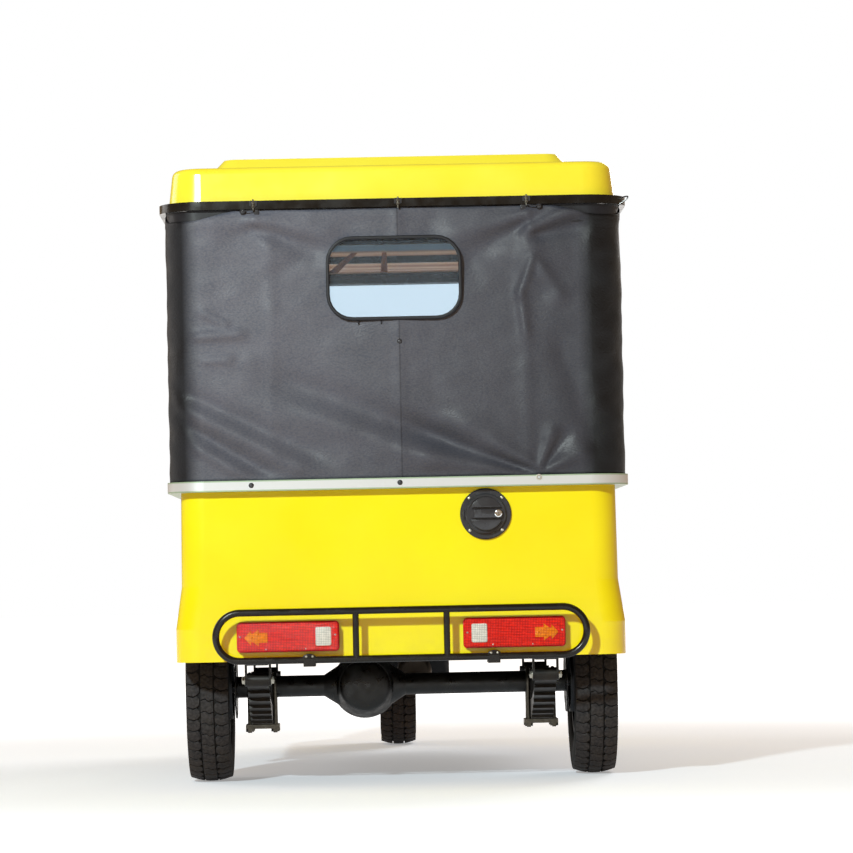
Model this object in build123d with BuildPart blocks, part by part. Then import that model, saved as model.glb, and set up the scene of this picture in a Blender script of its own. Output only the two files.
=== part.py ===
"""Three-wheeled auto rickshaw: yellow rear tub and roof, dark canvas rear canopy, live rear axle on
leaf springs, raked front fork. Lengths are in millimetres. +Y points forward, +X to the right as
seen from behind and +Z up. The origin is on the ground, under the middle of the vehicle."""

import os
from math import atan2, cos, degrees, radians, sin

from build123d import *

os.makedirs("parts", exist_ok=True)

# Clearances
seat_gap = 0.3
bearing_gap = 0.05
overrun = 20

# Wheels and axles
wheel_radius = 272.5
tyre_width = 126
tyre_shoulder_drop = 11
tyre_bead_width = 96
rim_radius = 152.4
rim_wall = 4
rim_lip = 12
rim_disc_thickness = 6
hub_radius = 34
hub_half_length = 32
axle_stub_radius = 16
drum_radius = 92
drum_depth = 40
drum_wall = 6
vent_hole_radius = 11
vent_hole_at = 112
vent_hole_count = 10
tyre_inset = 57
rear_axle_y = -975
axle_tube_radius = 31.5

# Overall places
front_end_y = 1500
guard_reach = 75
ground_clearance = 345

# Chassis
rail_inset = 152
rail_width = 60
rail_height = 60
rail_front_y = 560
rear_member_step = 4
crossmember_height = 40
crossmember_length = 45
floor_thickness = 8
floor_front_y = 700
floor_front_share = 0.82
floor_edge_drop = 45

# Rear tub
spring_tail = 85
tub_front_y = -560
tub_bottom_z = 357
strip_bottom_z = 838
strip_height = 30
tub_wall = 12
tub_corner_radius = 70
tub_half_width = 619
tub_flare = 21
tub_flare_z = 450
tub_waist_z = 570
tub_front_round = 120
arch_gap = 60
arch_wall = 4

# Canopy and roof
strip_depth = 38
canopy_inset = 5
canopy_wall = 7
rail_lip_bottom_z = 1636
rail_flange = 8
rail_lip_height = 24
rail_lip_width = 44
rail_overhang = 28
roof_side_growth = 20
roof_front_narrowing = 99
roof_rear_growth = 15
roof_taper_y = 150
roof_front_y = 915
roof_corner_radius = 95
roof_height = 101
roof_wall = 6
roof_slope = 12
roof_edge_round = 22
plateau_inset = 95
plateau_rear_inset = 250
plateau_front_inset = 260
plateau_height = 56
plateau_slope = 44
lining_thickness = 4
window_z = 1434
window_width = 368
window_height = 222
window_corner = 66
window_sheet = 3

# Cabin frame
post_radius = 14
ring_radius = 15
bow_radius = 12
post_inset = 44
post_mid_step = 40
partition_y = 40
partition_bar_z = 1130
frame_front_y = 820

# Rear panel fittings
guard_tube_radius = 10
guard_inset = 87
guard_low_z = 359.5
guard_high_z = 495
guard_upright_x = 128
guard_arm_x = 260
guard_arm_width = 34
guard_arm_thickness = 8
guard_lug_height = 22
guard_upright_radius = 9
lamp_x = 320
lamp_z = 425
lamp_width = 290
lamp_height = 86
lamp_base_depth = 14
lamp_lens_depth = 26
lamp_corner = 12
lens_rib_count = 8
lens_rib_height = 1.5
filler_x = 246
filler_z = 761
filler_radius = 72.5
filler_ring_depth = 9
filler_neck_radius = 30
lid_radius = 57.5
lid_depth = 11
grip_width = 24
grip_height = 9
lid_well_depth = 2.5
lid_well_width = 12
lid_hinge_gap = 5
lid_knuckle_radius = 4
lid_knuckle_length = 16
lid_pin_radius = 2
lid_ear_thickness = 4

# Seats
bench_deck_z = 640
bench_plate = 12
bench_depth = 480
bench_cushion_height = 115
bench_cushion_front_y = -545
back_panel_lean = 10
back_panel_height = 480
back_panel_thickness = 12
backrest_thickness = 85
soft_round = 22
driver_box_half_width = 270
driver_box_rear_y = 95
driver_box_front_y = 490
driver_box_top_z = 690
driver_box_wall = 8
driver_cushion_height = 90
driver_back_height = 330
driver_back_thickness = 60

# Engine and driveline
engine_half_width = 165
engine_rear_y = 150
engine_front_y = 430
engine_bottom_z = 270
engine_top_z = 650
engine_foot = 10
shaft_x = -107
shaft_radius = 24
shaft_front_z = 310
shaft_rear_z = 285
diff_radius = 98
diff_cover_radius = 75
diff_half_length = 120
diff_rim_width = 10
diff_rim_depth = 6
diff_dome_height = 16
diff_boss_radius = 9
banjo_share = 0.906
silencer_radius = 52
silencer_x = 45
silencer_z = 300
silencer_rear_y = -560
silencer_length = 420
exhaust_pipe_radius = 17

# Leaf springs
leaf_width = 62
leaf_thickness = 8
leaf_count = 7
leaf_step_share = 0.125
spring_half_span = 365
spring_rise = 76
spring_pad = 21
eye_radius = 20
eye_bore_radius = 8
shackle_thickness = 6
shackle_width = 34
ubolt_radius = 6
ubolt_plate = 12

# Front end
fork_rake = 25
fork_leg_x = 102
fork_leg_radius = 18
fork_yoke_at = 365
fork_yoke_thickness = 26
stem_radius = 15
head_tube_at = 425
head_tube_length = 170
head_tube_radius = 27
stem_top_at = 830
bar_radius = 11
bar_reach = 320
bar_rise = 70
bar_pull_back = 120
grip_radius = 16
grip_length = 115
switch_length = 46
switch_radius = 23
lever_width = 10
lever_length = 150
lever_gap = 34
fender_gap = 36
fender_wall = 3
fender_half_width = 75
fender_side_drop = 40
fender_arc = 150
shell_top_z = 985
shell_rear_y = 700
shell_wall = 10
shell_foot_half_width = 470
shell_foot_y = 1010
shell_waist_z = 640
shell_waist_half_width = 505
shell_waist_y = 1160
shell_top_half_width = 535
shell_top_y = 1125
shell_corner_radius = 160
vent_count = 5
vent_width = 170
vent_height = 9
vent_pitch = 20
vent_z = 880
wheel_swing_gap = 60
dash_rear_y = 930
dash_height = 105
pod_radius = 62
pod_length = 55
pod_tilt = 40
pedal_width = 60
pedal_height = 70
pedal_lever_width = 14
pedal_x = 120
screen_thickness = 24
screen_border = 42
screen_head_border = 25
screen_foot_y = 1085
screen_head_y = 862
screen_foot_half_width = 500
screen_head_half_width = 470
wiper_length = 330
wiper_pivot_x = 200
wiper_arm = 8
glass_thickness = 5
headlamp_x = 300
headlamp_z = 800
headlamp_radius = 78
headlamp_depth = 90
indicator_width = 90
indicator_height = 46
indicator_z = 692

# Sizes that follow
tub_rear_y = rear_axle_y - spring_half_span - spring_tail
rear_end_y = tub_rear_y - guard_reach
rear_tyre_x = tub_half_width - tyre_inset
rail_x = rear_tyre_x - rail_inset
roof_half_width = tub_half_width + roof_side_growth
roof_front_half_width = roof_half_width - roof_front_narrowing
roof_rear_y = tub_rear_y - roof_rear_growth
plateau_half_width = roof_half_width - plateau_inset
post_x = tub_half_width - post_inset
post_rear_y = tub_rear_y + post_inset
post_mid_y = tub_front_y - post_mid_step
guard_half_width = tub_half_width - guard_inset
bench_rear_y = tub_front_y - bench_depth
rail_bottom_z = ground_clearance
rail_top_z = rail_bottom_z + rail_height
rear_member_z = rail_bottom_z + rear_member_step
floor_z = rail_top_z + seat_gap
floor_top_z = floor_z + floor_thickness
tub_top_z = strip_bottom_z + strip_height
tub_inner_half_width = tub_half_width - tub_wall
rail_rear_y = tub_rear_y + tub_wall + seat_gap
fender_radius = wheel_radius + fender_gap + fender_wall
front_axle_y = front_end_y - fender_radius
guard_y = rear_end_y + guard_tube_radius
roof_bottom_z = rail_lip_bottom_z + rail_lip_height
axle_z = wheel_radius
rake = radians(fork_rake)
swing_radius = fender_radius + wheel_swing_gap


def save(piece, name):
    """Labels one finished piece and writes it under its node's name."""
    piece.label = name
    export_step(piece, f"parts/{name}.step")


def on_fork(along):
    """The place that lies a given way up the steering axis from the front wheel's centre."""
    return (0, front_axle_y - along * sin(rake), axle_z + along * cos(rake))


def fork_plane(along):
    """The plane square to the steering axis at that place, with its X to the right."""
    return Plane(origin=on_fork(along), x_dir=(1, 0, 0), z_dir=(0, -sin(rake), cos(rake)))


def cross_plane(x):
    """An upright plane at x whose own X runs forward and own Y runs up."""
    return Plane(origin=(x, 0, 0), x_dir=(0, 1, 0), z_dir=(1, 0, 0))


def rear_plane(y):
    """An upright plane at y that faces backward, with its X to the right and its Y up."""
    return Plane(origin=(0, y, 0), x_dir=(1, 0, 0), z_dir=(0, -1, 0))


def strut(start, end):
    """The plane at start that faces end, and the way between them."""
    way = Vector(*end) - Vector(*start)
    return Plane(origin=start, z_dir=way.normalized()), way.length


# Tyres and rims, revolved about each wheel's own axle
def tyre_at(x, y):
    """A road tyre seated on its rim, out to the tips of its tread blocks."""
    half = tyre_width / 2
    bead = tyre_bead_width / 2
    bead_r = rim_radius + seat_gap
    lip_r = rim_radius + rim_lip + seat_gap
    wide_r = (bead_r + wheel_radius) / 2
    shoulder_r = wheel_radius - tyre_shoulder_drop
    with BuildPart() as tyre:
        with BuildSketch(Plane.XY.offset(axle_z)):
            with BuildLine():
                Polyline(
                    (x - bead, y + lip_r),
                    (x - bead, y + bead_r),
                    (x + bead, y + bead_r),
                    (x + bead, y + lip_r),
                )
                ThreePointArc(
                    (x + bead, y + lip_r), (x + half, y + wide_r), (x + half - rim_wall, y + shoulder_r)
                )
                ThreePointArc(
                    (x + half - rim_wall, y + shoulder_r),
                    (x, y + wheel_radius),
                    (x - half + rim_wall, y + shoulder_r),
                )
                ThreePointArc(
                    (x - half + rim_wall, y + shoulder_r), (x - half, y + wide_r), (x - bead, y + lip_r)
                )
            make_face()
        revolve(axis=Axis((x, y, axle_z), (1, 0, 0)))
    return tyre.part


def rim_at(x, y, inboard):
    """A pressed steel rim with its disc, hub and brake drum; inboard is the drum's side, 1 or -1."""
    half = tyre_bead_width / 2 + seat_gap
    lip_r = rim_radius + rim_lip
    with BuildPart() as rim:
        with BuildSketch(Plane.XY.offset(axle_z)):
            with BuildLine():
                Polyline(
                    (x - half - rim_wall, y + rim_radius - rim_wall),
                    (x + half + rim_wall, y + rim_radius - rim_wall),
                    (x + half + rim_wall, y + lip_r),
                    (x + half, y + lip_r),
                    (x + half, y + rim_radius),
                    (x - half, y + rim_radius),
                    (x - half, y + lip_r),
                    (x - half - rim_wall, y + lip_r),
                    close=True,
                )
            make_face()
            with Locations((x, y + rim_radius - rim_wall)):
                Rectangle(rim_disc_thickness, rim_radius - hub_radius, align=(Align.CENTER, Align.MAX))
            with Locations((x, y + axle_stub_radius + bearing_gap)):
                Rectangle(
                    2 * hub_half_length,
                    hub_radius - axle_stub_radius - bearing_gap,
                    align=(Align.CENTER, Align.MIN),
                )
            with Locations((x + inboard * (hub_half_length - drum_wall / 2), y + hub_radius)):
                Rectangle(drum_wall, drum_radius - hub_radius, align=(Align.CENTER, Align.MIN))
            with Locations((x + inboard * (hub_half_length + drum_depth / 2 - drum_wall), y + drum_radius)):
                Rectangle(drum_depth, drum_wall, align=(Align.CENTER, Align.MAX))
        revolve(axis=Axis((x, y, axle_z), (1, 0, 0)))
        # Vent holes round the disc
        with BuildSketch(cross_plane(x - rim_disc_thickness)):
            with Locations((y, axle_z)):
                with PolarLocations(vent_hole_at, vent_hole_count):
                    Circle(vent_hole_radius)
        extrude(amount=2 * rim_disc_thickness, mode=Mode.SUBTRACT)
    return rim.part


wheel_places = (
    # name, x, y, side of the drum
    ("front", 0, front_axle_y, 1),
    ("rear_left", -rear_tyre_x, rear_axle_y, 1),
    ("rear_right", rear_tyre_x, rear_axle_y, -1),
)
for place, wheel_x, wheel_y, drum_side in wheel_places:
    save(tyre_at(wheel_x, wheel_y), f"{place}_tyre")
    save(rim_at(wheel_x, wheel_y, drum_side), f"{place}_rim")


# Chassis: two rails, crossmembers, and a backbone up to the steering head
crossmember_y = (
    rear_axle_y + spring_half_span + crossmember_length,
    engine_rear_y - crossmember_length,
    engine_front_y + crossmember_length,
    rail_front_y - crossmember_length / 2,
)
backbone_foot_y = floor_front_y + crossmember_length
backbone_foot = (0, backbone_foot_y, rail_top_z - crossmember_height / 2)
backbone_head = on_fork(head_tube_at + head_tube_length / 2)
with BuildPart() as chassis_frame:
    with BuildSketch(Plane.XY.offset(rail_bottom_z)):
        for side in (-1, 1):
            with Locations((side * rail_x, (rail_rear_y + rail_front_y) / 2)):
                Rectangle(rail_width, rail_front_y - rail_rear_y)
    extrude(amount=rail_height)
    with BuildSketch(Plane.XY.offset(rail_top_z - crossmember_height)):
        for member_y in crossmember_y:
            with Locations((0, member_y)):
                Rectangle(2 * rail_x, crossmember_length)
        with Locations((0, (rail_front_y + backbone_foot_y) / 2)):
            Rectangle(2 * rail_width, backbone_foot_y - rail_front_y + crossmember_length)
    extrude(amount=crossmember_height)
    with BuildSketch(Plane.XY.offset(rear_member_z)):
        with Locations((0, rail_rear_y)):
            Rectangle(2 * rail_x, crossmember_length, align=(Align.CENTER, Align.MIN))
    extrude(amount=rail_top_z - rear_member_z)
    leg_plane, leg_length = strut(backbone_foot, backbone_head)
    with BuildSketch(leg_plane):
        Circle(head_tube_radius)
    extrude(amount=leg_length)
    with BuildSketch(fork_plane(head_tube_at)):
        Circle(head_tube_radius + rim_wall)
    extrude(amount=head_tube_length)
    with BuildSketch(fork_plane(head_tube_at - overrun)):
        Circle(stem_radius + bearing_gap)
    extrude(amount=head_tube_length + 2 * overrun, mode=Mode.SUBTRACT)
    split(bisect_by=Plane.XY.offset(rail_bottom_z), keep=Keep.TOP)
save(chassis_frame.part, "chassis_frame")


# Live rear axle: tubes, banjo with its round cover, drum backing plates and wheel stubs
drum_face_x = rear_tyre_x - hub_half_length - drum_depth + drum_wall
with BuildPart() as rear_axle:
    with BuildSketch(cross_plane(-drum_face_x + 2 * rim_wall)):
        with Locations((rear_axle_y, axle_z)):
            Circle(axle_tube_radius)
    extrude(amount=2 * drum_face_x - 4 * rim_wall)
    with BuildSketch(cross_plane(-rear_tyre_x - hub_half_length)):
        with Locations((rear_axle_y, axle_z)):
            Circle(axle_stub_radius)
    extrude(amount=2 * (rear_tyre_x + hub_half_length))
    for side in (-1, 1):
        with BuildSketch(cross_plane(side * (drum_face_x - 2 * rim_wall))):
            with Locations((rear_axle_y, axle_z)):
                Circle(drum_radius)
        extrude(amount=-side * rim_wall)
    for side in (-1, 1):
        banjo_end = Plane(
            origin=(shaft_x + side * diff_half_length, rear_axle_y, axle_z),
            x_dir=(0, 1, 0),
            z_dir=(1, 0, 0),
        )
        banjo_middle = Plane(
            origin=(shaft_x + side * diff_half_length / 4, rear_axle_y, axle_z),
            x_dir=(0, 1, 0),
            z_dir=(1, 0, 0),
        )
        with BuildSketch(banjo_end):
            Circle(axle_tube_radius)
        with BuildSketch(banjo_middle):
            Ellipse(diff_cover_radius * banjo_share, diff_radius * banjo_share)
        loft()
    with BuildSketch(rear_plane(rear_axle_y - diff_cover_radius)):
        with Locations((shaft_x, axle_z)):
            Circle(diff_cover_radius)
    with BuildSketch(rear_plane(rear_axle_y)):
        with Locations((shaft_x, axle_z)):
            Circle(diff_radius)
    loft()
    with BuildSketch(rear_plane(rear_axle_y)):
        with Locations((shaft_x, axle_z)):
            Circle(diff_radius)
    with BuildSketch(rear_plane(rear_axle_y + diff_half_length)):
        with Locations((shaft_x, shaft_rear_z)):
            Circle(2 * shaft_radius)
    loft()
    # Cover: a raised rim, a low dome within it and the oil plug's square boss
    with BuildSketch(rear_plane(rear_axle_y - diff_cover_radius)):
        with Locations((shaft_x, axle_z)):
            Circle(diff_cover_radius)
            Circle(diff_cover_radius - diff_rim_width, mode=Mode.SUBTRACT)
    extrude(amount=diff_rim_depth)
    with BuildSketch(rear_plane(rear_axle_y - diff_cover_radius)):
        with Locations((shaft_x, axle_z)):
            Circle(diff_cover_radius - 2 * diff_rim_width)
    extrude(amount=diff_dome_height, taper=fork_rake * 2)
    with BuildSketch(rear_plane(rear_axle_y - diff_cover_radius)):
        with Locations((shaft_x + diff_cover_radius / 3, axle_z + diff_cover_radius / 3)):
            Rectangle(2 * diff_boss_radius, 2 * diff_boss_radius)
    extrude(amount=diff_dome_height + diff_rim_depth)
    # Spring pads under the tube
    for side in (-1, 1):
        with BuildSketch(Plane.XY.offset(axle_z - axle_tube_radius - spring_pad)):
            with Locations((side * rail_x, rear_axle_y)):
                Rectangle(leaf_width, 2 * axle_tube_radius)
        extrude(amount=spring_pad + axle_tube_radius)
save(rear_axle.part, "rear_axle")


# Leaf springs: a stack of arcs below the axle, each shorter than the one above, with rolled eyes
spring_curve = (spring_half_span**2 + spring_rise**2) / (2 * spring_rise)
pad_sag = axle_tube_radius**2 / (2 * spring_curve)
spring_top_z = axle_z - axle_tube_radius - spring_pad - seat_gap - pad_sag
spring_centre_z = spring_top_z + spring_curve
spring_angle = degrees(atan2(spring_half_span, spring_curve - spring_rise))
eye_z = spring_centre_z - (spring_curve + leaf_thickness / 2) * cos(radians(spring_angle)) + eye_radius / 2
spring_bottom_z = spring_top_z - leaf_count * leaf_thickness
eye_places = (rear_axle_y - spring_half_span, rear_axle_y + spring_half_span)
with BuildPart() as leaf_springs:
    for side in (-1, 1):
        with BuildSketch(cross_plane(side * rail_x - leaf_width / 2)):
            for leaf in range(leaf_count):
                inner = spring_curve + leaf * leaf_thickness
                outer = inner + leaf_thickness
                reach = radians(spring_angle * (1 - leaf * leaf_step_share))
                with BuildLine():
                    inner_start = (rear_axle_y - inner * sin(reach), spring_centre_z - inner * cos(reach))
                    inner_end = (rear_axle_y + inner * sin(reach), spring_centre_z - inner * cos(reach))
                    outer_start = (rear_axle_y - outer * sin(reach), spring_centre_z - outer * cos(reach))
                    outer_end = (rear_axle_y + outer * sin(reach), spring_centre_z - outer * cos(reach))
                    ThreePointArc(inner_start, (rear_axle_y, spring_centre_z - inner), inner_end)
                    Line(inner_end, outer_end)
                    ThreePointArc(outer_end, (rear_axle_y, spring_centre_z - outer), outer_start)
                    Line(outer_start, inner_start)
                make_face()
            with Locations(*[(eye_y, eye_z) for eye_y in eye_places]):
                Circle(eye_radius)
                Circle(eye_bore_radius, mode=Mode.SUBTRACT)
        extrude(amount=leaf_width)
save(leaf_springs.part, "leaf_springs")

# Shackles at the rear and hanger plates at the front, each pair of plates with its pin
with BuildPart() as spring_shackles:
    for side in (-1, 1):
        for eye_y in eye_places:
            for face in (-1, 1):
                plate_x = side * rail_x + face * (leaf_width / 2 + seat_gap + shackle_thickness / 2)
                with BuildSketch(cross_plane(plate_x)):
                    with BuildLine():
                        half = shackle_width / 2
                        top = rail_bottom_z + rail_height / 2
                        Polyline(
                            (eye_y - half, eye_z),
                            (eye_y - half, top),
                            (eye_y + half, top),
                            (eye_y + half, eye_z),
                        )
                        ThreePointArc((eye_y + half, eye_z), (eye_y, eye_z - half), (eye_y - half, eye_z))
                    make_face()
                extrude(amount=shackle_thickness / 2, both=True)
            with BuildSketch(cross_plane(side * rail_x)):
                with Locations((eye_y, eye_z)):
                    Circle(eye_bore_radius - bearing_gap)
            extrude(amount=leaf_width / 2 + shackle_thickness + leaf_thickness, both=True)
save(spring_shackles.part, "spring_shackles")

# U-bolts over the axle tube, down through the plate under the leaves
ubolt_bend = axle_tube_radius + seat_gap + ubolt_radius
ubolt_foot_z = spring_bottom_z - ubolt_plate - 2 * ubolt_radius


def ubolt_at(x):
    """One bent bolt over the axle tube at x, its two threaded legs pointing down."""
    with BuildPart() as hoop:
        with BuildLine(cross_plane(x)) as hoop_path:
            Line((rear_axle_y - ubolt_bend, ubolt_foot_z), (rear_axle_y - ubolt_bend, axle_z))
            ThreePointArc(
                (rear_axle_y - ubolt_bend, axle_z),
                (rear_axle_y, axle_z + ubolt_bend),
                (rear_axle_y + ubolt_bend, axle_z),
            )
            Line((rear_axle_y + ubolt_bend, axle_z), (rear_axle_y + ubolt_bend, ubolt_foot_z))
        with BuildSketch(Plane.XY.offset(ubolt_foot_z)):
            with Locations((x, rear_axle_y - ubolt_bend)):
                Circle(ubolt_radius)
        sweep(path=hoop_path.wire())
    return hoop.part


ubolt_hoops = [
    ubolt_at(side * rail_x + face * (leaf_width / 2 + seat_gap + ubolt_radius))
    for side in (-1, 1)
    for face in (-1, 1)
]
with BuildPart() as spring_ubolts:
    for side in (-1, 1):
        with BuildSketch(Plane.XY.offset(spring_bottom_z - seat_gap)):
            with Locations((side * rail_x, rear_axle_y)):
                Rectangle(leaf_width + 6 * ubolt_radius, 2 * axle_tube_radius + 6 * ubolt_radius)
        extrude(amount=-ubolt_plate)
        with BuildSketch(Plane.XY.offset(ubolt_foot_z + ubolt_radius / 2)):
            for face in (-1, 1):
                bolt_x = side * rail_x + face * (leaf_width / 2 + seat_gap + ubolt_radius)
                with Locations((bolt_x, rear_axle_y - ubolt_bend), (bolt_x, rear_axle_y + ubolt_bend)):
                    RegularPolygon(2 * ubolt_radius, 6)
        extrude(amount=2 * ubolt_radius)
    add(ubolt_hoops)
save(spring_ubolts.part, "spring_ubolts")


# Engine as one plain block, its shaft to the axle, and the silencer
with BuildPart() as engine_block:
    with BuildSketch(Plane.XY.offset(engine_bottom_z)):
        with Locations((0, (engine_rear_y + engine_front_y) / 2)):
            Rectangle(2 * engine_half_width, engine_front_y - engine_rear_y)
    extrude(amount=engine_top_z - engine_bottom_z)
    fillet(engine_block.edges().filter_by(Axis.Z), overrun)
    with BuildSketch(Plane.XY.offset(rail_top_z + seat_gap)):
        with Locations((0, (engine_rear_y + engine_front_y) / 2)):
            Rectangle(engine_half_width, engine_front_y - engine_rear_y + 2 * crossmember_length)
    extrude(amount=engine_foot)
save(engine_block.part, "engine_block")

shaft_plane, shaft_length = strut(
    (shaft_x, rear_axle_y + diff_half_length + seat_gap, shaft_rear_z),
    (shaft_x, engine_rear_y - seat_gap, shaft_front_z),
)
with BuildPart() as propeller_shaft:
    with BuildSketch(shaft_plane):
        Circle(shaft_radius)
    extrude(amount=shaft_length)
    for end in (0, shaft_length - 2 * shaft_radius):
        with BuildSketch(shaft_plane.offset(end)):
            Circle(shaft_radius + leaf_thickness)
        extrude(amount=2 * shaft_radius)
    split(bisect_by=Plane.XZ.offset(-rear_axle_y - diff_half_length - seat_gap), keep=Keep.BOTTOM)
    split(bisect_by=Plane.XZ.offset(-engine_rear_y + seat_gap), keep=Keep.TOP)
save(propeller_shaft.part, "propeller_shaft")

with BuildPart() as exhaust:
    with BuildSketch(rear_plane(silencer_rear_y + silencer_length)):
        with Locations((silencer_x, silencer_z)):
            Circle(silencer_radius)
    extrude(amount=silencer_length)
    fillet(exhaust.edges(), silencer_radius / 3)
    with BuildSketch(rear_plane(engine_rear_y - seat_gap)):
        with Locations((silencer_x, silencer_z)):
            Circle(exhaust_pipe_radius)
    extrude(amount=engine_rear_y - seat_gap - silencer_rear_y - overrun)
    with BuildSketch(rear_plane(silencer_rear_y + overrun)):
        with Locations((silencer_x, silencer_z - silencer_radius / 2)):
            Circle(exhaust_pipe_radius)
            Circle(exhaust_pipe_radius - fender_wall, mode=Mode.SUBTRACT)
    extrude(amount=5 * overrun)
    # Strap that hangs the silencer from the crossmember above it
    with BuildSketch(Plane.XY.offset(silencer_z)):
        with Locations((silencer_x, rear_axle_y + spring_half_span + crossmember_length)):
            Rectangle(shackle_width, fender_wall * 2)
    extrude(amount=rail_top_z - crossmember_height - seat_gap - silencer_z)
save(exhaust.part, "exhaust")


# Floor pan with turned-down edges, open over the engine and the rear wheels
arch_radius = wheel_radius + arch_gap
arch_inner_x = rear_tyre_x - tyre_width / 2 - arch_gap / 2
floor_half_width = tub_inner_half_width - seat_gap
floor_rear_half_width = floor_half_width + tub_flare
sill_y = tub_front_y + seat_gap


def floor_points(inset):
    """The corners of the floor's outline, drawn in by inset."""
    half = floor_half_width - inset
    narrow = floor_front_share * floor_half_width - inset
    wide = floor_rear_half_width - inset
    return [
        (-wide, rail_rear_y),
        (wide, rail_rear_y),
        (wide, tub_front_y),
        (half, tub_front_y),
        (half, rail_front_y - rail_width),
        (narrow, floor_front_y - inset),
        (-narrow, floor_front_y - inset),
        (-half, rail_front_y - rail_width),
        (-half, tub_front_y),
        (-wide, tub_front_y),
    ]


with BuildPart() as floor_pan:
    with BuildSketch(Plane.XY.offset(floor_z)) as floor_sketch:
        with BuildLine():
            Polyline(*floor_points(0), close=True)
        make_face()
        fillet(floor_sketch.vertices().group_by(Axis.Y)[0], tub_corner_radius)
        for side in (-1, 1):
            with Locations((side * (floor_rear_half_width + overrun), rear_axle_y)):
                Rectangle(
                    floor_rear_half_width + overrun - arch_inner_x - arch_wall,
                    2 * arch_radius,
                    align=(Align.MAX if side > 0 else Align.MIN, Align.CENTER),
                    mode=Mode.SUBTRACT,
                )
        with Locations((0, (engine_rear_y + engine_front_y) / 2)):
            Rectangle(
                2 * engine_half_width + overrun,
                engine_front_y - engine_rear_y + 2 * crossmember_length + overrun,
                mode=Mode.SUBTRACT,
            )
    extrude(amount=floor_thickness)
    # The turned-down edge along the two doorways
    with BuildSketch(Plane.XY.offset(floor_z - floor_edge_drop)):
        with BuildLine():
            Polyline(*floor_points(0), close=True)
        make_face()
        with BuildLine():
            Polyline(*floor_points(floor_thickness), close=True)
        make_face(mode=Mode.SUBTRACT)
        with Locations((0, sill_y)):
            Rectangle(
                3 * floor_half_width,
                sill_y - rear_end_y,
                align=(Align.CENTER, Align.MAX),
                mode=Mode.SUBTRACT,
            )
        with Locations((0, floor_front_y)):
            Rectangle(6 * rail_width, 4 * floor_thickness, mode=Mode.SUBTRACT)
    extrude(amount=floor_edge_drop)
save(floor_pan.part, "floor_pan")


# Rear tub: a loft through flat sections, flared out at the foot, hollowed and cut over the wheels
tub_sections = (
    # z, growth of the half width
    (tub_bottom_z, tub_flare),
    (tub_flare_z, tub_flare),
    (tub_waist_z, tub_wall / 4),
    (tub_top_z, 0),
)


def tub_form(inset):
    """The tub's outer form, drawn in by inset; its front is left long."""
    with BuildPart() as form:
        for section_z, growth in tub_sections:
            with BuildSketch(Plane.XY.offset(section_z)):
                with Locations((0, tub_rear_y + inset)):
                    RectangleRounded(
                        2 * (tub_half_width + growth - inset),
                        tub_front_y - tub_rear_y + 4 * tub_corner_radius,
                        tub_corner_radius - inset,
                        align=(Align.CENTER, Align.MIN),
                    )
        loft(ruled=True)
    return form.part


tub_outer = tub_form(0)
tub_inner = tub_form(tub_wall)
with BuildPart() as rear_tub:
    add(tub_outer)
    add(tub_inner, mode=Mode.SUBTRACT)
    with BuildSketch(cross_plane(-roof_half_width - rail_overhang)):
        with BuildLine():
            front_cut = tub_front_y - tub_front_round
            Line((tub_front_y, tub_bottom_z - overrun), (tub_front_y, tub_top_z - tub_front_round))
            ThreePointArc(
                (tub_front_y, tub_top_z - tub_front_round),
                (
                    front_cut + tub_front_round * cos(radians(45)),
                    tub_top_z - tub_front_round * (1 - sin(radians(45))),
                ),
                (front_cut, tub_top_z),
            )
            Polyline(
                (front_cut, tub_top_z),
                (front_cut, tub_top_z + overrun),
                (front_end_y, tub_top_z + overrun),
                (front_end_y, tub_bottom_z - overrun),
                (tub_front_y, tub_bottom_z - overrun),
            )
        make_face()
        with Locations((rear_axle_y, axle_z)):
            Circle(arch_radius)
    extrude(amount=2 * (roof_half_width + rail_overhang), mode=Mode.SUBTRACT)
save(rear_tub.part, "rear_tub")


# Inner wheel arches, standing on the floor against the tub's sides
with BuildPart() as wheel_arches:
    for side in (-1, 1):
        with BuildSketch(cross_plane(side * arch_inner_x)):
            with Locations((rear_axle_y, axle_z)):
                Circle(arch_radius + arch_wall)
        extrude(amount=side * (floor_half_width - arch_inner_x))
        with BuildSketch(cross_plane(side * (arch_inner_x + arch_wall))):
            with Locations((rear_axle_y, axle_z)):
                Circle(arch_radius)
        extrude(amount=side * floor_half_width, mode=Mode.SUBTRACT)
    split(bisect_by=Plane.XY.offset(floor_top_z + seat_gap), keep=Keep.TOP)
save(wheel_arches.part, "wheel_arches")


# Bench base, its back panel, and the bench's two cushions
bench_half_width = floor_half_width - seat_gap
deck_top_z = bench_deck_z + bench_plate
lean = radians(back_panel_lean)
back_plane = Plane(
    origin=(0, bench_rear_y + bench_plate, deck_top_z + seat_gap),
    x_dir=(1, 0, 0),
    z_dir=(0, -cos(lean), -sin(lean)),
)
with BuildPart() as bench_base:
    with BuildSketch(cross_plane(-bench_half_width)):
        with Locations((bench_rear_y - bench_plate, bench_deck_z)):
            Rectangle(tub_front_y - bench_rear_y, bench_plate, align=(Align.MIN, Align.MIN))
        with Locations((tub_front_y - bench_plate, floor_top_z + seat_gap)):
            Rectangle(bench_plate, deck_top_z - floor_top_z - seat_gap, align=(Align.MAX, Align.MIN))
    extrude(amount=2 * bench_half_width)
save(bench_base.part, "bench_base")

with BuildPart() as bench_back_panel:
    with BuildSketch(back_plane) as back_sketch:
        with Locations((0, -overrun)):
            Rectangle(
                2 * (post_x - post_radius - seat_gap),
                back_panel_height + overrun,
                align=(Align.CENTER, Align.MIN),
            )
        fillet(back_sketch.vertices().group_by(Axis.Y)[-1], tub_corner_radius)
    extrude(amount=back_panel_thickness)
    split(bisect_by=Plane.XY.offset(deck_top_z + seat_gap), keep=Keep.TOP)
save(bench_back_panel.part, "bench_back_panel")

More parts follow.
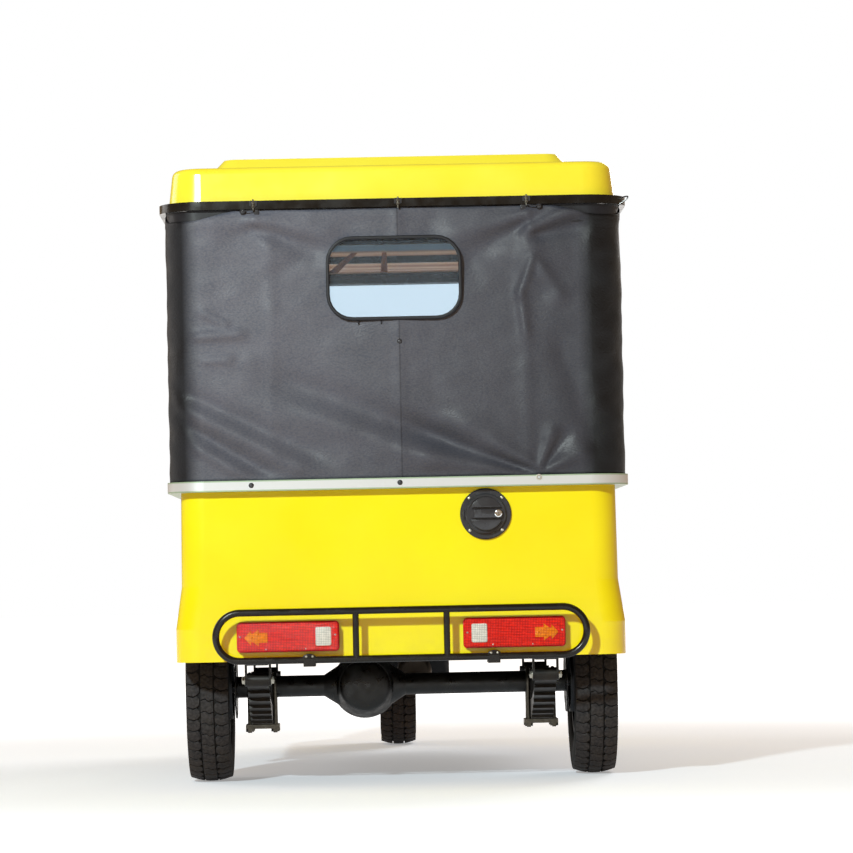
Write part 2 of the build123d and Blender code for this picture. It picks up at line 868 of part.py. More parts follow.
cushion_rear_y = bench_rear_y + bench_plate + bench_plate
cushion_bottom_z = deck_top_z + seat_gap
with BuildPart() as bench_cushion:
    with BuildSketch(Plane.XY.offset(cushion_bottom_z)):
        with Locations((0, cushion_rear_y)):
            Rectangle(
                2 * (post_x - post_radius - seat_gap),
                bench_cushion_front_y - cushion_rear_y,
                align=(Align.CENTER, Align.MIN),
            )
    extrude(amount=bench_cushion_height)
    fillet(bench_cushion.edges().group_by(Axis.Z)[-1], soft_round)
save(bench_cushion.part, "bench_cushion")

backrest_bottom_z = cushion_bottom_z + bench_cushion_height + seat_gap
with BuildPart() as bench_backrest:
    with BuildSketch(back_plane.offset(-seat_gap)) as rest_sketch:
        Rectangle(
            2 * (post_x - post_radius - tub_wall),
            back_panel_height - tub_wall,
            align=(Align.CENTER, Align.MIN),
        )
        fillet(rest_sketch.vertices().group_by(Axis.Y)[-1], tub_corner_radius)
    extrude(amount=-backrest_thickness)
    fillet(bench_backrest.faces().sort_by(Axis.Y)[-1].edges(), soft_round)
    split(bisect_by=Plane.XY.offset(backrest_bottom_z), keep=Keep.TOP)
save(bench_backrest.part, "bench_backrest")


# Driver's seat: a pressed box over the engine, a cushion and a small backrest on its plate
box_mid_y = (driver_box_rear_y + driver_box_front_y) / 2
box_length = driver_box_front_y - driver_box_rear_y
with BuildPart() as driver_seat_box:
    with BuildSketch(Plane.XY.offset(floor_top_z + seat_gap)):
        with Locations((0, box_mid_y)):
            RectangleRounded(2 * driver_box_half_width, box_length, soft_round)
    extrude(amount=driver_box_top_z - floor_top_z - seat_gap)
    with BuildSketch(Plane.XY.offset(floor_top_z + seat_gap)):
        with Locations((0, box_mid_y)):
            RectangleRounded(
                2 * (driver_box_half_width - driver_box_wall),
                box_length - 2 * driver_box_wall,
                soft_round - driver_box_wall,
            )
    extrude(amount=driver_box_top_z - floor_top_z - driver_box_wall, mode=Mode.SUBTRACT)
    # The plate that carries the backrest
    with BuildSketch(Plane.XY.offset(driver_box_top_z - driver_box_wall)):
        with Locations((0, driver_box_rear_y)):
            Rectangle(driver_box_half_width, driver_box_wall, align=(Align.CENTER, Align.MIN))
    extrude(amount=driver_cushion_height + driver_back_height)
save(driver_seat_box.part, "driver_seat_box")

with BuildPart() as driver_cushion:
    with BuildSketch(Plane.XY.offset(driver_box_top_z + seat_gap)):
        with Locations((0, driver_box_front_y)):
            RectangleRounded(
                2 * driver_box_half_width,
                box_length - driver_box_wall - seat_gap,
                soft_round,
                align=(Align.CENTER, Align.MAX),
            )
    extrude(amount=driver_cushion_height)
    fillet(driver_cushion.edges().group_by(Axis.Z)[-1], soft_round)
save(driver_cushion.part, "driver_cushion")

with BuildPart() as driver_backrest:
    with BuildSketch(rear_plane(driver_box_rear_y + driver_box_wall + seat_gap)):
        with Locations((0, driver_box_top_z + driver_cushion_height + 2 * seat_gap)):
            Rectangle(
                2 * driver_box_half_width - soft_round,
                driver_back_height,
                align=(Align.CENTER, Align.MIN),
            )
    extrude(amount=-driver_back_thickness)
    fillet(driver_backrest.faces().sort_by(Axis.Y)[-1].edges(), soft_round)
save(driver_backrest.part, "driver_backrest")


# Plan of the roof, shared by the roof, its black lip and the lining
def roof_plan(z, growth):
    """The roof's outline grown outward, its four outer corners rounded."""
    with BuildSketch(Plane.XY.offset(z)) as plan:
        with BuildLine():
            Polyline(
                (-roof_half_width - growth, roof_rear_y - growth),
                (roof_half_width + growth, roof_rear_y - growth),
                (roof_half_width + growth, roof_taper_y),
                (roof_front_half_width + growth, roof_front_y + growth),
                (-roof_front_half_width - growth, roof_front_y + growth),
                (-roof_half_width - growth, roof_taper_y),
                close=True,
            )
        make_face()
        ends = plan.vertices().group_by(Axis.Y)
        fillet(ends[0] + ends[-1], roof_corner_radius + growth)
    return plan.sketch


lip_inner = rail_overhang - rail_lip_width
flange_inner = post_x - post_radius - roof_half_width
with BuildPart() as roof_rail:
    add(roof_plan(rail_lip_bottom_z, rail_overhang))
    extrude(amount=rail_lip_height)
    add(roof_plan(rail_lip_bottom_z, flange_inner))
    extrude(amount=rail_lip_height, mode=Mode.SUBTRACT)
    add(roof_plan(rail_lip_bottom_z + rail_flange, lip_inner))
    extrude(amount=rail_lip_height, mode=Mode.SUBTRACT)
save(roof_rail.part, "roof_rail")

roof_top_z = roof_bottom_z + roof_height
with BuildPart() as roof_shell:
    add(roof_plan(roof_bottom_z, 0))
    extrude(amount=roof_height, taper=degrees(atan2(roof_slope, roof_height)))
    fillet(roof_shell.faces().sort_by(Axis.Z)[-1].edges(), roof_edge_round)
    with BuildSketch(Plane.XY.offset(roof_top_z)):
        with Locations((0, roof_rear_y + plateau_rear_inset)):
            RectangleRounded(
                2 * plateau_half_width,
                roof_front_y - plateau_front_inset - roof_rear_y - plateau_rear_inset,
                roof_corner_radius,
                align=(Align.CENTER, Align.MIN),
            )
    extrude(amount=plateau_height, taper=plateau_slope)
    with BuildSketch(Plane.XY.offset(roof_top_z - 2 * roof_wall)):
        with Locations((0, roof_rear_y + plateau_rear_inset + roof_wall)):
            RectangleRounded(
                2 * (plateau_half_width - roof_wall),
                roof_front_y - plateau_front_inset - roof_rear_y - plateau_rear_inset - 2 * roof_wall,
                roof_corner_radius - roof_wall,
                align=(Align.CENTER, Align.MIN),
            )
    extrude(amount=plateau_height + roof_wall, taper=plateau_slope, mode=Mode.SUBTRACT)
    add(roof_plan(roof_bottom_z, -roof_wall))
    extrude(
        amount=roof_height - roof_wall, taper=degrees(atan2(roof_slope, roof_height)), mode=Mode.SUBTRACT
    )
save(roof_shell.part, "roof_shell")

with BuildPart() as roof_lining:
    add(roof_plan(rail_lip_bottom_z + rail_flange + seat_gap, lip_inner - seat_gap))
    extrude(amount=lining_thickness)
save(roof_lining.part, "roof_lining")


# Cabin frame: upright posts, the ring they carry under the roof, and the partition's bars
post_places = (
    # y, foot z
    (post_rear_y, floor_top_z + seat_gap),
    (post_mid_y, deck_top_z + seat_gap),
    (partition_y, floor_top_z + seat_gap),
)
ring_z = rail_lip_bottom_z - seat_gap - ring_radius
front_half_width = post_x - (roof_half_width - roof_front_half_width)
with BuildPart() as cabin_frame:
    with BuildLine() as ring_path:
        Polyline(
            (0, post_rear_y, ring_z),
            (post_x, post_rear_y, ring_z),
            (post_x, roof_taper_y, ring_z),
            (front_half_width, frame_front_y, ring_z),
            (-front_half_width, frame_front_y, ring_z),
            (-post_x, roof_taper_y, ring_z),
            (-post_x, post_rear_y, ring_z),
            close=True,
        )
    with BuildSketch(cross_plane(0)):
        with Locations((post_rear_y, ring_z)):
            Circle(ring_radius)
    sweep(path=ring_path.wire(), transition=Transition.RIGHT)
    for post_y, foot_z in post_places:
        for side in (-1, 1):
            with BuildSketch(Plane.XY.offset(foot_z)):
                with Locations((side * post_x, post_y)):
                    Circle(post_radius)
            extrude(amount=ring_z - foot_z)
    for bar_y, bar_z in ((post_mid_y, ring_z), (partition_y, ring_z), (partition_y, partition_bar_z)):
        with BuildSketch(cross_plane(-post_x)):
            with Locations((bar_y, bar_z)):
                Circle(bow_radius)
        extrude(amount=2 * post_x)
save(cabin_frame.part, "cabin_frame")


# Canopy: a U of heavy cloth round the rear of the cabin, open at its window, with its trim strip
def wrap(z, growth, wall, front_y, height):
    """A band that wraps the rear corners, its outside grown from the tub's outside."""
    with BuildPart() as band:
        with BuildSketch(Plane.XY.offset(z)):
            for inset, mode in ((0, Mode.ADD), (wall, Mode.SUBTRACT)):
                with Locations((0, tub_rear_y - growth + inset)):
                    RectangleRounded(
                        2 * (tub_half_width + growth - inset),
                        2 * (front_y - tub_rear_y),
                        tub_corner_radius + growth - inset,
                        align=(Align.CENTER, Align.MIN),
                        mode=mode,
                    )
            with Locations((0, front_y)):
                Rectangle(
                    3 * tub_half_width,
                    3 * (front_y - tub_rear_y),
                    align=(Align.CENTER, Align.MIN),
                    mode=Mode.SUBTRACT,
                )
        extrude(amount=height)
    return band.part


strip_front_y = tub_front_y - tub_front_round
save(
    wrap(strip_bottom_z, strip_depth, strip_depth - 2 * seat_gap, strip_front_y, strip_height),
    "canopy_strip",
)

canopy_bottom_z = tub_top_z + seat_gap
canopy_growth = strip_depth - canopy_inset
with BuildPart() as rear_canopy:
    add(
        wrap(
            canopy_bottom_z,
            canopy_growth,
            canopy_wall,
            strip_front_y,
            rail_lip_bottom_z - seat_gap - canopy_bottom_z,
        )
    )
    with BuildSketch(rear_plane(tub_rear_y)):
        with Locations((0, window_z)):
            RectangleRounded(window_width, window_height, window_corner)
    extrude(amount=canopy_growth + overrun, mode=Mode.SUBTRACT)
save(rear_canopy.part, "rear_canopy")

with BuildPart() as rear_window:
    with BuildSketch(rear_plane(tub_rear_y - canopy_growth + (canopy_wall + window_sheet) / 2)):
        with Locations((0, window_z)):
            RectangleRounded(
                window_width - 2 * seat_gap, window_height - 2 * seat_gap, window_corner - seat_gap
            )
    extrude(amount=window_sheet)
save(rear_window.part, "rear_window")


# Tail lamps: each a moulded base with its lens on it, ribbed from end to end
lamp_face_y = tub_rear_y - seat_gap
lens_width = lamp_width - 2 * arch_wall
lens_height = lamp_height - 2 * arch_wall
with BuildPart() as tail_lamps:
    for side in (-1, 1):
        with BuildSketch(rear_plane(lamp_face_y)):
            with Locations((side * lamp_x, lamp_z)):
                RectangleRounded(lamp_width, lamp_height, lamp_corner)
        extrude(amount=lamp_base_depth)
        with BuildSketch(rear_plane(lamp_face_y - lamp_base_depth)):
            with Locations((side * lamp_x, lamp_z)):
                RectangleRounded(lens_width, lens_height, lamp_corner - arch_wall)
        extrude(amount=lamp_lens_depth)
        with BuildSketch(rear_plane(lamp_face_y - lamp_base_depth - lamp_lens_depth)):
            with Locations((side * lamp_x, lamp_z)):
                with GridLocations(0, lens_height / lens_rib_count, 1, lens_rib_count):
                    Rectangle(lens_width - 2 * lamp_corner, lens_height / lens_rib_count / 2)
        extrude(amount=lens_rib_height)
save(tail_lamps.part, "tail_lamps")


# Rear guard: a long oval of tube with two uprights, on arms from the last crossmember
guard_height = guard_high_z - guard_low_z
guard_mid_z = (guard_high_z + guard_low_z) / 2
guard_bend = guard_height / 2
with BuildPart() as rear_guard:
    with BuildLine(rear_plane(guard_y)) as guard_path:
        half = guard_half_width - guard_tube_radius - guard_bend
        Line((0, guard_high_z), (half, guard_high_z))
        ThreePointArc((half, guard_high_z), (half + guard_bend, guard_mid_z), (half, guard_low_z))
        Line((half, guard_low_z), (-half, guard_low_z))
        ThreePointArc((-half, guard_low_z), (-half - guard_bend, guard_mid_z), (-half, guard_high_z))
        Line((-half, guard_high_z), (0, guard_high_z))
    with BuildSketch(cross_plane(0)):
        with Locations((guard_y, guard_high_z)):
            Circle(guard_tube_radius)
    sweep(path=guard_path.wire())
    for side in (-1, 1):
        with BuildSketch(Plane.XY.offset(guard_low_z)):
            with Locations((side * guard_upright_x, guard_y)):
                Circle(guard_upright_radius)
        extrude(amount=guard_height)
        arm_top = rear_member_z - seat_gap
        with BuildSketch(Plane.XY.offset(arm_top)):
            with Locations((side * guard_arm_x, guard_y)):
                Rectangle(
                    guard_arm_width,
                    rail_rear_y + crossmember_length - guard_y,
                    align=(Align.CENTER, Align.MIN),
                )
        extrude(amount=-guard_arm_thickness)
        with BuildSketch(Plane.XY.offset(arm_top - guard_arm_thickness)):
            with Locations((side * guard_arm_x, guard_y)):
                RectangleRounded(guard_arm_width, 2 * guard_tube_radius, guard_tube_radius / 2)
        extrude(amount=guard_lug_height)
save(rear_guard.part, "rear_guard")


# Fuel filler: a round flange on the rear panel and its hinged, lockable lid
filler_face_y = tub_rear_y - seat_gap
lid_face_y = filler_face_y - filler_ring_depth - seat_gap
hinge_x = filler_x - lid_radius - lid_hinge_gap
hinge_y = lid_face_y - lid_knuckle_radius
ear_places = (
    # lowest z of each ear
    filler_z - lid_knuckle_length / 2 - seat_gap - lid_ear_thickness,
    filler_z + lid_knuckle_length / 2 + seat_gap,
)
with BuildPart() as filler_ring:
    with BuildSketch(rear_plane(filler_face_y)):
        with Locations((filler_x, filler_z)):
            Circle(filler_radius)
            Circle(filler_neck_radius, mode=Mode.SUBTRACT)
    extrude(amount=filler_ring_depth)
    chamfer(filler_ring.faces().sort_by(Axis.Y)[0].outer_wire().edges(), fender_wall)
    # Two ears and the pin of the lid's hinge
    for ear_z in ear_places:
        with BuildSketch(Plane.XY.offset(ear_z)):
            with Locations((hinge_x, hinge_y)):
                Circle(lid_knuckle_radius)
                Rectangle(
                    2 * lid_knuckle_radius,
                    filler_face_y - filler_ring_depth - hinge_y,
                    align=(Align.CENTER, Align.MIN),
                )
        extrude(amount=lid_ear_thickness)
    with BuildSketch(Plane.XY.offset(ear_places[0])):
        with Locations((hinge_x, hinge_y)):
            Circle(lid_pin_radius)
    extrude(amount=lid_knuckle_length + 2 * seat_gap + 2 * lid_ear_thickness)
save(filler_ring.part, "filler_ring")

with BuildPart() as fuel_lid:
    with BuildSketch(rear_plane(lid_face_y)):
        with Locations((filler_x, filler_z)):
            Circle(lid_radius)
    extrude(amount=lid_depth)
    chamfer(fuel_lid.faces().sort_by(Axis.Y)[0].edges(), fender_wall)
    with BuildSketch(rear_plane(lid_face_y - lid_depth)):
        with Locations((filler_x, filler_z)):
            SlotOverall(2 * (lid_radius - fender_wall - leaf_thickness), grip_width)
    extrude(amount=grip_height)
    # Shallow wells for the fingers above and below the grip
    with BuildSketch(rear_plane(lid_face_y - lid_depth + lid_well_depth)) as wells:
        with Locations((filler_x, filler_z)):
            Circle(lid_radius - leaf_thickness)
            Circle(lid_radius - leaf_thickness - lid_well_width, mode=Mode.SUBTRACT)
            Rectangle(2 * lid_radius, grip_width + leaf_thickness, mode=Mode.SUBTRACT)
    extrude(amount=lid_depth, mode=Mode.SUBTRACT)
    # The knuckle that turns on the hinge's pin
    with BuildSketch(Plane.XY.offset(filler_z - lid_knuckle_length / 2)):
        with Locations((hinge_x, hinge_y)):
            Circle(lid_knuckle_radius)
            Rectangle(
                lid_hinge_gap + 2 * lid_knuckle_radius,
                lid_knuckle_radius,
                align=(Align.MIN, Align.CENTER),
            )
            Circle(lid_pin_radius + bearing_gap, mode=Mode.SUBTRACT)
    extrude(amount=lid_knuckle_length)
save(fuel_lid.part, "fuel_lid")


# Front shell: a cowl lofted through three sections, hollow, cut for the wheel and the headlamps
shell_sections = (
    # z, half width, front y
    (floor_top_z + seat_gap, shell_foot_half_width, shell_foot_y),
    (shell_waist_z, shell_waist_half_width, shell_waist_y),
    (shell_top_z, shell_top_half_width, shell_top_y),
)


def shell_form(inset):
    """The cowl's outer form drawn in by inset, left long at the rear."""
    with BuildPart() as form:
        for section_z, half, shell_front_y in shell_sections:
            with BuildSketch(Plane.XY.offset(section_z)):
                with Locations((0, shell_front_y - inset)):
                    RectangleRounded(
                        2 * (half - inset),
                        2 * shell_rear_y,
                        shell_corner_radius - inset,
                        align=(Align.CENTER, Align.MAX),
                    )
        loft(ruled=True)
    return form.part


shell_outer = shell_form(0)
shell_inner = shell_form(shell_wall)
dash_room = shell_form(shell_wall + seat_gap)
with BuildPart() as front_shell:
    add(shell_outer)
    add(shell_inner, mode=Mode.SUBTRACT)
    split(bisect_by=Plane.XZ.offset(-shell_rear_y), keep=Keep.BOTTOM)
    with Locations((0, front_axle_y, axle_z)):
        Sphere(swing_radius, mode=Mode.SUBTRACT)
    with BuildSketch(rear_plane(front_end_y)):
        with Locations((-headlamp_x, headlamp_z), (headlamp_x, headlamp_z)):
            Circle(headlamp_radius + seat_gap)
        with Locations((-headlamp_x, indicator_z), (headlamp_x, indicator_z)):
            RectangleRounded(
                indicator_width + 2 * seat_gap, indicator_height + 2 * seat_gap, lamp_corner + seat_gap
            )
    extrude(amount=front_end_y - shell_rear_y - 2 * crossmember_length, mode=Mode.SUBTRACT)
    # Air vents in the nose
    with BuildSketch(rear_plane(front_end_y)):
        with Locations((0, vent_z)):
            with GridLocations(0, vent_pitch, 1, vent_count):
                Rectangle(vent_width, vent_height)
    extrude(amount=front_end_y - dash_rear_y - 2 * crossmember_length, mode=Mode.SUBTRACT)
save(front_shell.part, "front_shell")

headlamp_rear_y = front_axle_y - 3 * crossmember_length
with BuildPart() as headlamps:
    for side in (-1, 1):
        with BuildSketch(Plane.XZ.offset(-headlamp_rear_y)):
            with Locations((side * headlamp_x, headlamp_z)):
                Circle(headlamp_radius)
        extrude(amount=-headlamp_depth)
    fillet(headlamps.faces().group_by(Axis.Y)[-1].edges(), soft_round)
save(headlamps.part, "headlamps")
with BuildPart() as front_indicators:
    with BuildSketch(Plane.XZ.offset(-headlamp_rear_y)):
        with Locations((-headlamp_x, indicator_z), (headlamp_x, indicator_z)):
            RectangleRounded(indicator_width, indicator_height, lamp_corner)
    extrude(amount=-headlamp_depth)
save(front_indicators.part, "front_indicators")

with BuildPart() as dashboard:
    add(dash_room)
    with BuildSketch(Plane.XY.offset(shell_top_z - dash_height)):
        with Locations((0, dash_rear_y)):
            Rectangle(4 * roof_half_width, front_end_y, align=(Align.CENTER, Align.MIN))
    extrude(amount=dash_height, mode=Mode.INTERSECT)
    # Round instrument pod that leans toward the driver
    pod_plane = Plane(
        origin=(0, dash_rear_y + pod_radius / 2, shell_top_z - seat_gap),
        x_dir=(1, 0, 0),
        z_dir=(0, -sin(radians(pod_tilt)), cos(radians(pod_tilt))),
    )
    with BuildSketch(pod_plane.offset(-pod_length / 2)):
        Circle(pod_radius)
    extrude(amount=1.5 * pod_length)
    with BuildSketch(pod_plane.offset(pod_length - shell_wall)):
        Circle(pod_radius - shell_wall)
    extrude(amount=shell_wall, mode=Mode.SUBTRACT)
    with BuildSketch(Plane.XY.offset(shell_top_z - dash_height)):
        Rectangle(4 * roof_half_width, 4 * front_end_y)
    extrude(amount=-front_end_y, mode=Mode.SUBTRACT)
save(dashboard.part, "dashboard")


# Toe board between the floor and the cowl
with BuildPart() as toe_board:
    add(dash_room)
    with BuildSketch(cross_plane(-roof_half_width)):
        with BuildLine():
            Polyline(
                (floor_front_y + seat_gap, floor_top_z + 2 * seat_gap),
                (floor_front_y + 2 * crossmember_length, tub_waist_z + 2 * crossmember_length),
                (floor_front_y + 2 * crossmember_length + shell_wall, tub_waist_z + 2 * crossmember_length),
                (floor_front_y + shell_wall + seat_gap, floor_top_z + 2 * seat_gap),
                close=True,
            )
        make_face()
    extrude(amount=2 * roof_half_width, mode=Mode.INTERSECT)
    # Brake pedal on its lever, standing off the board
    pedal_plane = Plane(
        origin=(pedal_x, floor_front_y, floor_top_z + dash_height),
        x_dir=(1, 0, 0),
        z_dir=(0, -cos(radians(pod_tilt)), sin(radians(pod_tilt))),
    )
    with BuildSketch(pedal_plane.offset(-pod_radius)):
        Rectangle(pedal_lever_width, pedal_lever_width)
    extrude(amount=pod_radius)
    with BuildSketch(pedal_plane):
        RectangleRounded(pedal_width, pedal_height, shell_wall)
    extrude(amount=shell_wall)
save(toe_board.part, "toe_board")


# Windscreen: an upright frame leaning back from the cowl to the roof, with its glass
screen_foot_z = shell_top_z + seat_gap
screen_head_z = rail_lip_bottom_z - seat_gap
screen_rise = Vector(0, screen_head_y - screen_foot_y, screen_head_z - screen_foot_z)
screen_plane = Plane(
    origin=(0, screen_foot_y, screen_foot_z),
    x_dir=(1, 0, 0),
    z_dir=Vector(1, 0, 0).cross(screen_rise.normalized()),
)


def screen_points(inset, head_inset):
    """The corners of the screen's outline on its leaning plane, drawn in from its sides and its head."""
    return [
        (-screen_foot_half_width + inset, inset),
        (screen_foot_half_width - inset, inset),
        (screen_head_half_width - inset, screen_rise.length - head_inset),
        (-screen_head_half_width + inset, screen_rise.length - head_inset),
    ]


with BuildPart() as windscreen_frame:
    with BuildSketch(screen_plane):
        with BuildLine():
            Polyline(*screen_points(-overrun, -overrun), close=True)
        make_face()
        with BuildLine():
            Polyline(*screen_points(screen_border, screen_head_border), close=True)
        make_face(mode=Mode.SUBTRACT)
    extrude(amount=screen_thickness)
    split(bisect_by=Plane.XY.offset(screen_foot_z), keep=Keep.TOP)
    split(bisect_by=Plane.XY.offset(screen_head_z), keep=Keep.BOTTOM)
    # Wiper: its pivot on the lower border, the arm and the blade parked across the glass
    with BuildSketch(screen_plane):
        with Locations((-wiper_pivot_x, screen_border / 2)):
            Circle(1.5 * wiper_arm)
            Rectangle(wiper_length / 2, wiper_arm, align=(Align.MIN, Align.CENTER))
    extrude(amount=-wiper_arm)
    with BuildSketch(screen_plane.offset(-wiper_arm / 2)):
        with Locations((-wiper_pivot_x + wiper_length / 2, screen_border / 2)):
            Rectangle(wiper_arm, 1.2 * screen_border, align=(Align.CENTER, Align.MIN))
        with Locations((-wiper_pivot_x + wiper_length / 2, 1.6 * screen_border)):
            Rectangle(wiper_length, wiper_arm)
    extrude(amount=-wiper_arm / 2)
save(windscreen_frame.part, "windscreen_frame")

with BuildPart() as windscreen_glass:
    with BuildSketch(screen_plane.offset((screen_thickness - glass_thickness) / 2)):
        with BuildLine():
            Polyline(
                *screen_points(screen_border + seat_gap, screen_head_border + seat_gap), close=True
            )
        make_face()
    extrude(amount=glass_thickness)
save(windscreen_glass.part, "windscreen_glass")


# Front fork: two legs, a yoke, the steering stem and the wheel's axle
yoke_half_width = fork_leg_x + fork_leg_radius + leaf_thickness / 2
with BuildPart() as fork:
    leg_foot = Vector(*on_fork(0)) + Vector(fork_leg_x, 0, 0)
    with BuildSketch(Plane(origin=leg_foot, x_dir=(1, 0, 0), z_dir=fork_plane(0).z_dir)):
        Circle(fork_leg_radius)
    extrude(amount=fork_yoke_at)
    with BuildSketch(cross_plane(fork_leg_x - fork_leg_radius - fender_wall)):
        with Locations((front_axle_y, axle_z)):
            Circle(fork_leg_radius + leaf_thickness)
    extrude(amount=2 * (fork_leg_radius + fender_wall))
    with BuildSketch(cross_plane(hub_half_length + leaf_thickness)):
        with Locations((front_axle_y, axle_z)):
            Circle(axle_stub_radius + fender_wall)
    extrude(amount=fork_leg_x - hub_half_length - leaf_thickness)
    mirror(about=Plane.YZ)
    with BuildSketch(cross_plane(-fork_leg_x)):
        with Locations((front_axle_y, axle_z)):
            Circle(axle_stub_radius)
    extrude(amount=2 * fork_leg_x)
    with BuildSketch(fork_plane(fork_yoke_at - fork_yoke_thickness)):
        SlotOverall(2 * yoke_half_width, 2 * fork_leg_radius + leaf_thickness)
    extrude(amount=fork_yoke_thickness)
    with BuildSketch(fork_plane(fender_radius + seat_gap)):
        Rectangle(2 * fork_leg_radius, fork_leg_radius)
    extrude(amount=fork_yoke_at - fork_yoke_thickness / 2 - fender_radius)
    with BuildSketch(fork_plane(fork_yoke_at - fork_yoke_thickness)):
        Circle(stem_radius)
    extrude(amount=stem_top_at - fork_yoke_at + fork_yoke_thickness)
save(fork.part, "fork")

bar_plane = fork_plane(stem_top_at + bar_radius + seat_gap)
bar_points = (
    # x share of the reach, back share of the pull, up share of the rise
    (-1, 1, 1),
    (-0.62, 0.55, 1),
    (-0.3, 0, 0),
    (0.3, 0, 0),
    (0.62, 0.55, 1),
    (1, 1, 1),
)
with BuildPart() as handlebar:
    places = [
        bar_plane.from_local_coords(
            Vector(x * bar_reach, -back * bar_pull_back, up * bar_rise)
        )
        for x, back, up in bar_points
    ]
    with BuildLine() as bar_line:
        FilletPolyline(*places, radius=3 * bar_radius)
    with BuildSketch(Plane(origin=places[0], z_dir=(places[1] - places[0]).normalized())):
        Circle(bar_radius)
    sweep(path=bar_line.wire())
    # A grip, a switch block and a lever on each end
    for end, inner in ((places[0], places[1]), (places[-1], places[-2])):
        way = (inner - end).normalized()
        grip_plane = Plane(origin=end, x_dir=fork_plane(0).z_dir, z_dir=way)
        with BuildSketch(grip_plane):
            Circle(grip_radius)
        extrude(amount=grip_length)
        with BuildSketch(grip_plane.offset(grip_length + 2 * seat_gap)):
            Circle(switch_radius)
        extrude(amount=switch_length)
        ahead = 1 if end.X < 0 else -1
        with BuildSketch(grip_plane.offset(grip_length + switch_length / 2 - lever_length)):
            with Locations((0, -ahead * lever_gap)):
                Rectangle(lever_width, lever_width / 2)
        extrude(amount=lever_length)
        with BuildSketch(grip_plane.offset(grip_length + switch_length / 2)):
            Rectangle(
                lever_width,
                lever_gap + lever_width / 2,
                align=(Align.CENTER, Align.MAX if ahead > 0 else Align.MIN),
            )
        extrude(amount=lever_width)
save(handlebar.part, "handlebar")


# Front mudguard: an arc over the wheel with turned-down sides
with BuildPart() as front_fender:
    with BuildSketch(Plane.XY.offset(axle_z)):
        with Locations((0, front_axle_y + fender_radius)):
            Rectangle(2 * fender_half_width, fender_wall, align=(Align.CENTER, Align.MAX))
            for side in (-1, 1):
                with Locations((side * (fender_half_width - fender_wall / 2), 0)):
                    Rectangle(fender_wall, fender_side_drop, align=(Align.CENTER, Align.MAX))
    revolve(axis=Axis((0, front_axle_y, axle_z), (1, 0, 0)), revolution_arc=fender_arc)
save(front_fender.part, "front_fender")
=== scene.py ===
"""The looks of a three-wheeled auto rickshaw that is seen from behind. Lengths are in metres, +Y points
forward, +X to the right as seen from behind and +Z up."""

from math import asin, cos, exp, hypot, pi, radians, sin

import bmesh
import bpy
from mathutils import Matrix, Vector, noise
from mathutils.bvhtree import BVHTree


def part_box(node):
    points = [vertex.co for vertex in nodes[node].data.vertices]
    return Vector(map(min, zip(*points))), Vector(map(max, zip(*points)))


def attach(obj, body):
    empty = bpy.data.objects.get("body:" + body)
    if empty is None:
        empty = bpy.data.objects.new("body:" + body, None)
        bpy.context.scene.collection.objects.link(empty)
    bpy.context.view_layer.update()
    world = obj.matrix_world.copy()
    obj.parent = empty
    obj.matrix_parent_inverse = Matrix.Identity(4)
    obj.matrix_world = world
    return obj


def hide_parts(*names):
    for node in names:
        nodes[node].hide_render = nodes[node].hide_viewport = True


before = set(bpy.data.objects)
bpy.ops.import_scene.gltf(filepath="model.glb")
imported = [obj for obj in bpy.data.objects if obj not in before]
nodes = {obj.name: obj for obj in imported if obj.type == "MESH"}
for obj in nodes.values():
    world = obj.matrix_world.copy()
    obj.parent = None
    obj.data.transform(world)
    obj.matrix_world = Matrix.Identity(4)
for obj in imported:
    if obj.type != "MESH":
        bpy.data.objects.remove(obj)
scene = bpy.context.scene
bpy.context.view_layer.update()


def placed(name, data):
    """A new object in the scene."""
    made = bpy.data.objects.new(name, data)
    scene.collection.objects.link(made)
    return made


# Camera: a long lens behind the vehicle, turned a little to the right and tilted up, with a slight roll
eye = Vector((-0.0684, -11.6298, 0.5741))
yaw, pitch, roll = 0.0149, 0.0429, -0.0209
focal_share = 3600 / 853

forward = Vector((cos(pitch) * sin(yaw), cos(pitch) * cos(yaw), sin(pitch)))
level = Vector((cos(yaw), -sin(yaw), 0))
upright = level.cross(forward)
right = level * cos(roll) + upright * sin(roll)
above = upright * cos(roll) - level * sin(roll)
lens = bpy.data.cameras.new("camera")
lens.sensor_width = 36
lens.lens = 36 * focal_share
lens.clip_end = 200
camera = placed("camera", lens)
camera.matrix_world = Matrix.Translation(eye) @ Matrix((right, above, -forward)).transposed().to_4x4()
scene.camera = camera
scene.view_settings.view_transform = "Standard"


# Colours and materials
def linear(code):
    """A hex sRGB colour as linear red, green, blue and alpha."""
    parts = [int(code[i : i + 2], 16) / 255 for i in (1, 3, 5)]
    return [p / 12.92 if p <= 0.04045 else ((p + 0.055) / 1.055) ** 2.4 for p in parts] + [1.0]


